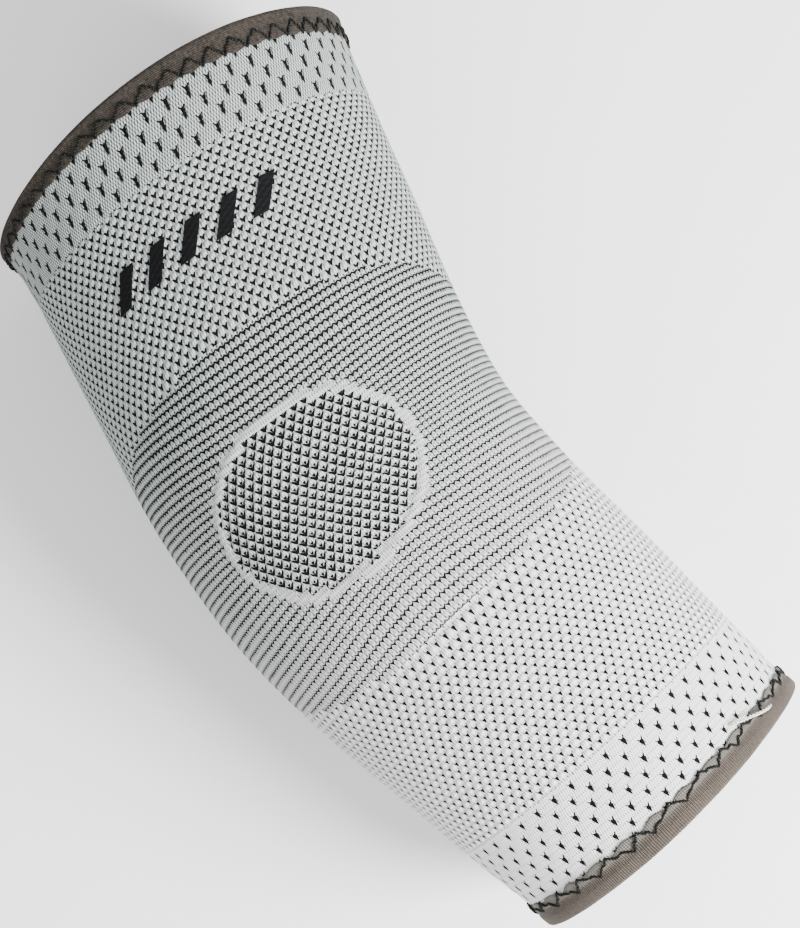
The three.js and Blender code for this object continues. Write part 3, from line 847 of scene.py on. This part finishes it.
def foam_material():
    shader = Shader("pad_foam", roughness=0.95)
    cells = shader.noise(900, 4.0)
    colour = shader.mix(cells, (0.55, 0.53, 0.48), (0.75, 0.73, 0.68))
    return shader.finish(colour, cells, 0.3)


def ink_material():
    """Rubbery black transfer ink that shows the stitches under it a little."""
    shader = Shader("transfer_ink", roughness=0.6, specular=0.05)
    grain = shader.noise(1300, 3.0)
    colour = shader.mix(grain, (0.0025, 0.0025, 0.0028), (0.007, 0.007, 0.008))
    return shader.finish(colour, grain, 0.12)


upper_cuff_cloth = knit_material("upper_cuff_yarn", "cuff_upper", 12, 3.4, grooves=0.85, groove_edge=-0.1)
upper_arm_cloth = knit_material(
    "upper_arm_yarn", "dots_upper", 48, 1.62, bumps=0.86, shade_lines=1.0, grooves=0.72)
elbow_cloth = knit_material("elbow_yarn", "elbow", 108, 2.1, bumps=0.6, shade_lines=0.7, fade=0.14)
patch_cloth = knit_material("patch_yarn", "patch", 106, 2.1, bumps=0.75, shade_lines=0.8)
forearm_cloth = knit_material(
    "forearm_yarn", "dots_forearm", 172, 1.87, bumps=0.86, grooves=0.45, groove_edge=0.25)
forearm_cuff_cloth = knit_material(
    "forearm_cuff_yarn", "cuff_forearm", 212, 3.07, grooves=0.45, groove_edge=0.25)
border_cloth = plain_knit_material("plain_border_yarn", (0.70, 0.73, 0.71))
lining_cloth = plain_knit_material("pocket_lining_yarn", (0.72, 0.73, 0.72))
inside_cloth = inside_knit_material()
# The two tapes are one binding. The upper one's colours are darker as painted shade, where it faces away
# from the key light, and the forearm one's are lighter as painted light, where it faces the key light.
upper_tape_painted_shade_cloth = tape_material(
    "upper_tape_weave_painted_shade", light=(0.062, 0.052, 0.043), dark=(0.008, 0.007, 0.006), rib_pitch=0.55,
    slant=0.8, speckle=3.4, edge_tint=(0.04, 0.036, 0.03), edge_from=5.4)
forearm_tape_painted_light_cloth = tape_material(
    "forearm_tape_weave_painted_light", light=(0.140, 0.116, 0.097), dark=(0.022, 0.018, 0.015), rib_pitch=0.62,
    slant=0.05, speckle=1.2, edge_tint=(0.155, 0.149, 0.133), edge_from=5.2)
black_thread = thread_material("black_sewing_thread", (0.003, 0.003, 0.003), (0.020, 0.022, 0.020), 0.8)
elastic_yarn = thread_material("elastic_yarn", (0.50, 0.51, 0.50), (0.80, 0.81, 0.80), 0.6)
loose_yarn = thread_material("loose_yarn", (0.60, 0.60, 0.57), (0.90, 0.90, 0.87), 0.9)
foam = foam_material()
ink = ink_material()

# ---------------------------------------------------------------- bodies that pieces ride on, and pieces fixed where they are


def bend_at_elbow(piece):
    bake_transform(piece)


def twist_in_forearm(piece):
    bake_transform(piece)


def ride_upper_arm(piece):
    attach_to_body(piece, "upper_arm")


def ride_forearm_cuff(piece):
    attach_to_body(piece, "forearm_cuff")


def declare(piece, attach, slot, *nodes):
    """How a piece moves, and the CAD nodes it stands for, which it hides. Its material slot is not used."""
    attach(piece)
    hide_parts(*nodes)


# ---------------------------------------------------------------- knit pieces


def bridge_corners(cells, free):
    """The cells, and the free ones beside every two of them that would only touch at a corner."""
    made = cells.copy()
    near, far = slice(None, -1), slice(1, None)
    for first, second in ((near, far), (far, near)):
        apart = ~cells[near, second] & ~cells[far, first] & cells[near, first] & cells[far, second]
        made[near, second] |= apart & free[near, second]
        made[far, first] |= apart & free[far, first]
    return made


upper_cuff_grid = KnitGrid(ROWS[0][1], ARM_START_ROW)
middle_grid = KnitGrid(ARM_START_ROW, FOREARM_CUFF_ROW)
forearm_cuff_grid = KnitGrid(FOREARM_CUFF_ROW, ROWS[-1][1])
course, angle, outside, row = (
    middle_grid.centres(field)
    for field in (middle_grid.course, middle_grid.angle, middle_grid.outside, middle_grid.row))
before_elbow = course < ELBOW_ROWS_START + ELBOW_START_REACH * side_reach(angle)
after_elbow = course > ELBOW_ROWS_END - ELBOW_END_REACH * side_reach(angle)
in_patch = outside < 0
in_border = bridge_corners(~in_patch & (outside < PATCH_BORDER), ~in_patch)
in_elbow = ~(before_elbow | after_elbow | in_patch | in_border)

#  name, grid, kept cells, cloth, slot, how it moves, and the CAD nodes it stands for
KNIT_PIECES = (
    ("upper_cuff_fabric", upper_cuff_grid, upper_cuff_grid.all_cells(), upper_cuff_cloth, "knit",
     ride_upper_arm, ("upper_cuff_knit",)),
    ("upper_arm_fabric", middle_grid, before_elbow, upper_arm_cloth, "knit",
     bend_at_elbow, ("upper_arm_knit",)),
    ("elbow_fabric", middle_grid, in_elbow, elbow_cloth, "ribbed_knit",
     bend_at_elbow, ("elbow_knit_upper", "elbow_knit_lower")),
    ("elbow_patch_fabric", middle_grid, in_patch, patch_cloth, "dark_knit",
     bend_at_elbow, ("elbow_patch_knit",)),
    ("elbow_patch_border_fabric", middle_grid, in_border, border_cloth, "plain_knit",
     bend_at_elbow, ("elbow_patch_border",)),
    ("forearm_fabric_by_elbow", middle_grid, after_elbow & (row < SPLIT_ROW), forearm_cloth, "knit",
     bend_at_elbow, ("forearm_knit",)),
    ("forearm_fabric_by_cuff", middle_grid, after_elbow & (row > SPLIT_ROW), forearm_cloth, "knit",
     twist_in_forearm, ("forearm_knit",)),
    ("forearm_cuff_fabric", forearm_cuff_grid, forearm_cuff_grid.all_cells(), forearm_cuff_cloth,
     "knit", ride_forearm_cuff, ("forearm_cuff_knit",)),
)
for name, grid, keep, cloth, slot, attach, nodes in KNIT_PIECES:
    piece = grid.piece(name, [cloth, inside_cloth], keep)
    declare(piece, attach, slot, *nodes)

#  The border is a narrow band of the elbow's own fabric, so this loop skips it.
for name, grid, keep, *_ in KNIT_PIECES:
    if name == "elbow_patch_border_fabric":
        continue
    rows_used, columns_used = np.nonzero(keep.any(1))[0], np.nonzero(keep.any(0))[0]
    courses = grid.course[::FINE, 0]
    flat_length = (courses[rows_used[-1] + 1] - courses[rows_used[0]]) * MM
    flat_width = float(girth(grid.at.mean())) * len(columns_used) / STITCH_COLUMNS * MM
    area = min(grid.flat_area(keep) * MM * MM, flat_width * flat_length)

# ---------------------------------------------------------------- pad and pocket

PAD_INSET = 2.0
PAD_OUTER, PAD_INNER = -2.7, -4.0
POCKET_OUTER, POCKET_THICKNESS = -4.3, 0.7
LINING_OVERLAP = 2.0
LINING_LIFT = 2.1  # the lining's edge rises by this to the back of the knit

edge_lift = LINING_LIFT * smooth((middle_grid.outside + PAD_INSET - 0.5) / 3.0)
lining = middle_grid.piece(
    "pad_pocket_lining", [lining_cloth, lining_cloth], outside < LINING_OVERLAP,
    outer=POCKET_OUTER + edge_lift, inner=POCKET_OUTER - POCKET_THICKNESS + edge_lift)
declare(lining, bend_at_elbow, "plain_knit", "elbow_pad_pocket")

PAD_RINGS, PAD_STEPS = 18, 96
PAD_EDGE_FROM, PAD_EDGE, PAD_LEAST = 0.88, 0.12, 0.02  # shares of its radius where it is rounded


def ring_quad(near, far, j, steps):
    """The face from point j to the next, between two rings of points."""
    k = (j + 1) % steps
    return [near * steps + j, far * steps + j, far * steps + k, near * steps + k]


def pad_object():
    """A foam lens with a rounded edge, as rings of points on each face."""
    vertices, faces = [], []
    turns = np.arange(PAD_STEPS) / PAD_STEPS * TURN
    power = PATCH_SQUARENESS
    reach = (np.abs(np.cos(turns)) ** power + np.abs(np.sin(turns)) ** power) ** (-1 / power)
    half_length = PATCH_HALF_LENGTH - PAD_INSET
    half_angle = PATCH_HALF_ANGLE - PAD_INSET / station_value(HALF, PATCH_AT)
    middle, half_thick = (PAD_OUTER + PAD_INNER) / 2, (PAD_OUTER - PAD_INNER) / 2
    for side in (1, -1):
        for share in np.linspace(PAD_LEAST, 1, PAD_RINGS):
            at = PATCH_AT + half_length * share * reach * np.cos(turns)
            angle = PATCH_ANGLE + half_angle * share * reach * np.sin(turns)
            rounding = math.sqrt(max(1 - max((share - PAD_EDGE_FROM) / PAD_EDGE, 0) ** 2, PAD_LEAST))
            vertices.append(in_frame(at, angle, middle + side * half_thick * rounding))
    count = len(vertices)
    order = list(range(PAD_RINGS)) + list(range(count - 1, PAD_RINGS - 1, -1))
    for near, far in zip(order[:-1], order[1:]):
        faces += [ring_quad(near, far, j, PAD_STEPS) for j in range(PAD_STEPS)]
    faces.append(list(range(PAD_STEPS)))
    faces.append([PAD_RINGS * PAD_STEPS + j for j in range(PAD_STEPS)][::-1])
    return new_object("pad_insert_foam", np.concatenate(vertices), faces, materials=[foam])


pad = pad_object()
declare(pad, bend_at_elbow, "pad", "elbow_pad_insert")

# ---------------------------------------------------------------- binding tapes and their threads

UPPER_TAPE = {
    "width": 5.6, "stitch": 6.1, "rim": 0.0, "inward": 1.0, "rim_slant": 1.5, "scallop": 0.25,
    "leg": ((0, 0), (0.35, 0.5), (0.7, 0.7), (1, 1)), "loose": 0.65,
}
FOREARM_TAPE = {
    "width": 7.4, "stitch": 9.1, "rim": LENGTH, "inward": -1.0, "rim_slant": 0.0, "scallop": 0.45,
    "leg": ((0, 0), (0.28, 0.40), (0.72, 0.56), (1, 1)), "loose": 1.0,
}
TAPE_STEPS = 620
TAPE_STRIPS = 4  # in its layout for baking
LIP_WIDTH, LIP_SLOPE = 3.5, 1.0
TAPE_OUTER, LIP_OUTER, TAPE_INNER, LIP_INNER = 1.1, 0.55, -2.3, -1.75
ZIGZAG_REACH, ZIGZAG_PAST_TAPE = 3.1, 0.2
THREAD_RADIUS = 0.31
NEEDLE_LEVEL, BOBBIN_LEVEL = 0.93, -2.1
NEEDLE_HOLE, BOBBIN_HOLE = 0.5, -1.75  # levels where they dip into the tape
REACH_WANDER, STITCH_WANDER, PATH_WOBBLE = 0.5, 0.16, 0.3  # how uneven the stitches are
ZIGZAG_STEPS, ZIGZAG_SIDES = 20, 6
TAPE_WANDER = 0.45


def stitch_count(tape):
    round_it = math.pi * (1 + DEPTH_RATIO) * station_value(HALF, tape["rim"])
    return round(float(round_it) / tape["stitch"])


def tape_place(tape, distance, angle):
    """At of a distance from the rim, with the rim's own slant fading out over the tape."""
    slant = tape["rim_slant"] * np.cos(angle) * np.clip(1 - distance / tape["width"], 0, 1)
    return tape["rim"] + tape["inward"] * (distance - slant)


def tape_profile(width):
    """Distance from the rim and level round the folded tape, from its outer lip to its inner one."""
    lip = width - LIP_WIDTH
    return (
        (width, GAP, 0), (width, 0.42, 0), (width - 0.12, LIP_OUTER, 0),
        (width - 0.8, LIP_OUTER + 0.05, 1), (width - 1.7, LIP_OUTER + 0.08, 1),
        (width - 2.6, LIP_OUTER + 0.06, 1), (lip + 0.3, LIP_OUTER + 0.1, 1),
        (lip - LIP_SLOPE / 2, TAPE_OUTER - 0.1, 1), (lip - LIP_SLOPE, TAPE_OUTER, 1), (0.9, TAPE_OUTER, 1),
        (0.45, 0.95, 0), (0.16, 0.62, 0), (0.02, 0.1, 0), (0.0, -0.6, 0), (0.02, -1.3, 0), (0.16, -1.82, 0),
        (0.45, -2.15, 0), (0.9, TAPE_INNER, 0), (lip - LIP_SLOPE, TAPE_INNER, 0), (lip, LIP_INNER - 0.1, 0),
        (width - 1.7, LIP_INNER, 0), (width, LIP_INNER, 0), (width, KNIT_INNER - GAP, 0),
        (TAPE_FOLD, KNIT_INNER - GAP, 0), (TAPE_FOLD, GAP, 0),
    )


def tape_object(name, tape, material):
    profile = tape_profile(tape["width"])
    count, teeth = len(profile), stitch_count(tape)
    turns = np.arange(TAPE_STEPS) / TAPE_STEPS * TURN
    chances = np.random.RandomState(teeth)
    uneven = wandering(turns / TURN * teeth, TAPE_WANDER * tape["loose"], chances, teeth)
    wave = np.cos(turns * teeth + uneven) * (1 + uneven)
    waviness = 0.10 * np.sin(turns * 9 + 1) + 0.06 * np.sin(turns * 23)
    rows, lengths = [], [0.0]
    for k, (distance, level, puckers) in enumerate(profile):
        share = smooth((distance - tape["width"] + 2.0) / 2.0)
        moved = distance - tape["scallop"] * wave * share + 0.25 * waviness * (distance < 1)
        lifted = level + (waviness * 0.6 - 0.10 * wave * share) * puckers
        rows.append(in_frame(tape_place(tape, moved, turns), turns, lifted))
        if k:
            before = profile[k - 1]
            lengths.append(lengths[-1] + math.hypot(distance - before[0], level - before[1]))
    lengths.append(lengths[-1] + GAP)
    round_it = float(girth(tape["rim"]))
    faces, cloth, bake = [], [], []
    order = -int(tape["inward"])  # the corners run the other way round at the other rim
    for k in range(count):
        for i in range(TAPE_STEPS):
            faces.append(ring_quad(k, (k + 1) % count, i, TAPE_STEPS)[::order])
            near, far = i / TAPE_STEPS, (i + 1) / TAPE_STEPS
            strip = min(int(near * TAPE_STRIPS), TAPE_STRIPS - 1)
            corners = [(near, lengths[k]), (near, lengths[k + 1]), (far, lengths[k + 1]), (far, lengths[k])]
            for a, b in corners[::order]:
                cloth.append((a * round_it, tape["width"] - b))
                up = (strip + 0.03 + 0.94 * b / lengths[-1]) / TAPE_STRIPS
                bake.append((a * TAPE_STRIPS - strip, up))
    return new_object(name, np.concatenate(rows), faces, [("cloth", cloth), ("OFBake", bake)], [material])


def wandering(place, amount, chances, count):
    """A number that changes smoothly from one of "count" chance values to the next, all round."""
    values = chances.uniform(-amount, amount, count)
    before = np.floor(place).astype(int)
    share = smooth(place - before)
    return values[before % count] * (1 - share) + values[(before + 1) % count] * share


def zigzag_object(name, tape, level, hole_level, material):
    """A zigzag of two stitches a leg. The thread dips into a needle hole at each stitch's end."""
    teeth = stitch_count(tape)
    place = np.arange(teeth * ZIGZAG_STEPS) / ZIGZAG_STEPS
    wave = place % 1
    leg = np.where(wave < 0.5, wave * 2, 2 - wave * 2)
    innermost = tape["width"] + ZIGZAG_PAST_TAPE
    loose = tape["loose"]
    chances = np.random.RandomState(teeth)
    reach = wandering(place, loose * REACH_WANDER, chances, teeth) + ZIGZAG_REACH
    wobble = PATH_WOBBLE * loose * np.sin(place * TURN * 4 + 3 * np.sin(place * 2.3))
    distance = innermost - reach * interpolate(tape["leg"], leg) + wobble * np.sin(leg * math.pi)
    angle = (place + wandering(place * 2, loose * STITCH_WANDER, chances, 2 * teeth)) / teeth * TURN
    hump = np.abs(np.sin(leg * TURN)) ** 0.7
    path = np.stack([tape_place(tape, distance, angle), angle, hole_level + (level - hole_level) * hump], 1)
    return sleeve_thread(name, path, THREAD_RADIUS, ZIGZAG_SIDES, [material], closed=True, strips=8)


BARTACK = {
    "angle": -35 * RAD, "start": 0.9, "length": 1.1, "width": 2.2, "low": 1.25, "high": 1.6,
    "passes": 11, "radius": 0.13,
}
BARTACK_STEPS = 6


def bartack_object(name, tape, material):
    """A dense zigzag of thread over the join in the tape."""
    i = np.arange(BARTACK["passes"] * BARTACK_STEPS + 1)
    across = np.abs((i / BARTACK_STEPS) % 2 - 1) * 2 - 1
    half_angle = BARTACK["width"] / 2 / station_value(HALF, tape["rim"])
    distance = BARTACK["start"] + BARTACK["length"] * i / i[-1]
    level = BARTACK["low"] + (BARTACK["high"] - BARTACK["low"]) * (1 - across ** 4)
    angle = BARTACK["angle"] + across * half_angle
    path = np.stack([tape_place(tape, distance, angle), angle, level], 1)
    return sleeve_thread(name, path, BARTACK["radius"], 6, [material], strips=2)


for name, tape, cloth, attach in (
    ("upper", UPPER_TAPE, upper_tape_painted_shade_cloth, ride_upper_arm),
    ("forearm", FOREARM_TAPE, forearm_tape_painted_light_cloth, ride_forearm_cuff),
):
    binding = tape_object(f"{name}_tape", tape, cloth)
    needle = zigzag_object(f"{name}_needle_thread", tape, NEEDLE_LEVEL, NEEDLE_HOLE, black_thread)
    bobbin = zigzag_object(f"{name}_bobbin_thread", tape, BOBBIN_LEVEL, BOBBIN_HOLE, black_thread)
    tack = bartack_object(f"{name}_bartack", tape, black_thread)
    for piece, slot, node in (
        (binding, "tape", "binding_tape"), (needle, "thread", "zigzag_needle_thread"),
        (bobbin, "thread", "zigzag_bobbin_thread"), (tack, "thread", "tape_join_bartack"),
    ):
        declare(piece, attach, slot, f"{name}_{node}")

# ---------------------------------------------------------------- laid-in elastic

ELASTIC_RADIUS, ELASTIC_LEVEL, ELASTIC_PITCH = 0.25, -1.75, 3.6
ELASTIC_STEPS = 60


def elastic_object(name, start, end):
    first, last = start + ELASTIC_RADIUS + GAP, end - ELASTIC_RADIUS - GAP
    turns = max(1, round((last - first) / ELASTIC_PITCH))
    i = np.arange(turns * ELASTIC_STEPS + 1)
    path = np.stack([first + (last - first) * i / i[-1], i / ELASTIC_STEPS * TURN,
                     np.full(len(i), ELASTIC_LEVEL)], 1)
    return sleeve_thread(name, path, ELASTIC_RADIUS, 5, [elastic_yarn], strips=max(2, turns))


FOREARM_SPLIT = 160.0
for name, start, end, attach, nodes in (
    ("upper_cuff_elastic_yarn", UPPER_TAPE["width"] + GAP, UPPER_CUFF_END, ride_upper_arm,
     ("upper_cuff_elastic",)),
    ("upper_arm_elastic_yarn", UPPER_CUFF_END, UPPER_ARM_END, bend_at_elbow, ("upper_arm_elastic",)),
    ("elbow_elastic_yarn", UPPER_ARM_END, ELBOW_END, bend_at_elbow,
     ("elbow_elastic_upper", "elbow_elastic_lower")),
    ("forearm_elastic_yarn_by_elbow", ELBOW_END, FOREARM_SPLIT, bend_at_elbow, ("forearm_elastic",)),
    ("forearm_elastic_yarn_by_cuff", FOREARM_SPLIT, FOREARM_END, twist_in_forearm, ("forearm_elastic",)),
    ("forearm_cuff_elastic_yarn", FOREARM_END, LENGTH - FOREARM_TAPE["width"] - GAP, ride_forearm_cuff,
     ("forearm_cuff_elastic",)),
):
    declare(elastic_object(name, start, end), attach, "elastic", *nodes)

# ---------------------------------------------------------------- printed bars and the loose yarn end

BARS = {
    "count": 5, "at": 39, "half_height": 4.6, "first": 118 * RAD, "last": 70 * RAD,
    "half_angle": 2.6 * RAD, "lean": 3.2 * RAD,
}
INK_LOW, INK_HIGH, INK_BUMP = 0.24, 0.40, 0.07
INK_RADIUS, DOT_TALL, DOT_WIDE = 50, 1.62, 3.05  # of the sleeve, and of the dots under the ink
BAR_ROWS, BAR_COLUMNS = 40, 20


def bar_object(name, angle):
    """A thin film of ink that lies over the knit's bumps."""
    along = np.linspace(-1, 1, BAR_ROWS + 1)[:, None]
    across = np.linspace(-1, 1, BAR_COLUMNS + 1)[None, :]
    at = BARS["at"] + along * BARS["half_height"] + 0 * across
    angle = angle + across * BARS["half_angle"] + along * BARS["lean"]
    bumps = INK_BUMP * np.cos(TURN * at / DOT_TALL) * np.cos(TURN * angle * INK_RADIUS / DOT_WIDE)
    slow = slow_waves(at, angle)
    wide = BAR_COLUMNS + 1
    faces, count = [], (BAR_ROWS + 1) * wide
    for i in range(BAR_ROWS):
        for j in range(BAR_COLUMNS):
            quad = [i * wide + j, i * wide + j + 1, (i + 1) * wide + j + 1, (i + 1) * wide + j]
            faces.append(quad)
            faces.append([count + k for k in quad[::-1]])
    rim = list(range(wide)) + [i * wide + BAR_COLUMNS for i in range(1, BAR_ROWS + 1)]
    rim += [BAR_ROWS * wide + j for j in range(BAR_COLUMNS - 1, -1, -1)]
    rim += [i * wide for i in range(BAR_ROWS - 1, 0, -1)]
    faces += [[b, a, count + a, count + b] for a, b in zip(rim, rim[1:] + rim[:1])]
    high = in_frame(at, angle, INK_HIGH + bumps + slow).reshape(-1, 3)
    low = in_frame(at, angle, INK_LOW + slow).reshape(-1, 3)
    return new_object(name, np.concatenate([high, low]), faces, materials=[ink])


for i in range(BARS["count"]):
    share = i / (BARS["count"] - 1)
    piece = bar_object(f"printed_bar_{i + 1}", BARS["first"] + (BARS["last"] - BARS["first"]) * share)
    declare(piece, ride_upper_arm, "ink", f"print_bar_{i + 1}")

#  at, degrees and level along the loose end
TAIL = (
    (217.6, 56.0, 0.75), (218.6, 53.0, 1.5), (219.9, 49.5, 2.0), (221.2, 46.0, 2.1),
    (222.3, 42.0, 2.1), (222.7, 38.5, 2.1),
)
PLY_RADIUS, PLY_OFFSET, PLY_PITCH = 0.24, 0.2, 2.4
PLY_TAPER, PLY_END = 1.5, 0.35  # length of its thinning tip, and how thin that ends
PLY_STEPS, PLY_SMOOTHING = 140, 25


def ply_object(name, start_turn):
    """One of the two plies of the yarn, twisted about its path."""
    place = np.linspace(0, len(TAIL) - 1, PLY_STEPS)
    at, angle, level = (np.interp(place, np.arange(len(TAIL)), column) for column in np.array(TAIL).T)
    kernel = np.hanning(PLY_SMOOTHING) / np.hanning(PLY_SMOOTHING).sum()
    at, angle, level = (
        np.convolve(np.pad(values, PLY_SMOOTHING // 2, "reflect", reflect_type="odd"), kernel, "valid")
        for values in (at, angle, level))
    angle = angle * RAD
    centre = in_frame(at, angle, level)
    out = in_frame(at, angle, level + 1) - centre
    out /= np.linalg.norm(out, axis=1, keepdims=True)
    tangent = np.gradient(centre, axis=0)
    tangent /= np.linalg.norm(tangent, axis=1, keepdims=True)
    side = np.cross(tangent, out)
    along = np.concatenate([[0], np.cumsum(np.linalg.norm(np.diff(centre, axis=0), axis=1))]) / MM
    turn = along / PLY_PITCH * TURN + start_turn
    offset = (side * np.cos(turn)[:, None] + out * np.sin(turn)[:, None]) * (PLY_OFFSET * MM)
    radius = PLY_RADIUS * np.interp(along, [0, along[-1] - PLY_TAPER, along[-1]], [1, 1, PLY_END])
    return tube_object(name, centre + offset, out, radius, 8, [loose_yarn], False)


for name, start_turn in (("yarn_end_ply_1", 0.0), ("yarn_end_ply_2", math.pi)):
    declare(ply_object(name, start_turn), ride_forearm_cuff, "plain_knit", "yarn_tail")

# ---------------------------------------------------------------- stage

FLOOR_SIZE, FLOOR_HEIGHT = 16.0, -0.0003  # metres
floor_shader = Shader("pale_floor", roughness=0.6)
floor_grain = floor_shader.noise(40, 2.0)
floor_colour = floor_shader.mix(floor_grain, (0.93, 0.93, 0.93), (0.95, 0.95, 0.95))
floor_material = floor_shader.finish(floor_colour)
half = FLOOR_SIZE / 2
floor = new_object(
    "floor", [(-half, -half, 0), (half, -half, 0), (half, half, 0), (-half, half, 0)],
    [[0, 1, 2, 3]], materials=[floor_material])
floor.location.z = FLOOR_HEIGHT


def area_light(name, place, target, size, power):
    data = bpy.data.lights.new(name, "AREA")
    data.shape, data.size, data.energy = "DISK", size, power
    light = bpy.data.objects.new(name, data)
    light.location = place
    light.rotation_euler = (Vector(target) - Vector(place)).to_track_quat("-Z", "Y").to_euler()
    bpy.context.scene.collection.objects.link(light)


area_light("key_softbox", (0.50, 0.36, 0.42), (0.03, 0, 0.03), size=0.35, power=22)
area_light("fill_softbox", (0.35, -0.55, 0.6), (0, 0, 0.03), size=0.7, power=4)
area_light("back_softbox", (-0.1, 0.8, 0.6), (0, 0, 0.03), size=0.6, power=3)

world = bpy.data.worlds.new("studio")
world.use_nodes = True
world.node_tree.nodes["Background"].inputs["Color"].default_value = (1, 1, 1, 1)
world.node_tree.nodes["Background"].inputs["Strength"].default_value = 1.0
bpy.context.scene.world = world

CAMERA_PLACE = Vector((0.05105, 0.02004, 0.60406))
CAMERA_FORWARD = Vector((-0.0975, -0.0298, -0.9948))
CAMERA_UP = Vector((-0.8017, 0.5946, 0.0608))
camera_data = bpy.data.cameras.new("camera")
camera_data.lens = 81.85
camera_data.sensor_width = 36.0
camera = bpy.data.objects.new("camera", camera_data)
back = -CAMERA_FORWARD.normalized()
right = CAMERA_UP.cross(back).normalized()
up = back.cross(right)
camera.matrix_world = Matrix((
    (right.x, up.x, back.x, CAMERA_PLACE.x),
    (right.y, up.y, back.y, CAMERA_PLACE.y),
    (right.z, up.z, back.z, CAMERA_PLACE.z),
    (0, 0, 0, 1),
))
bpy.context.scene.collection.objects.link(camera)
bpy.context.scene.camera = camera
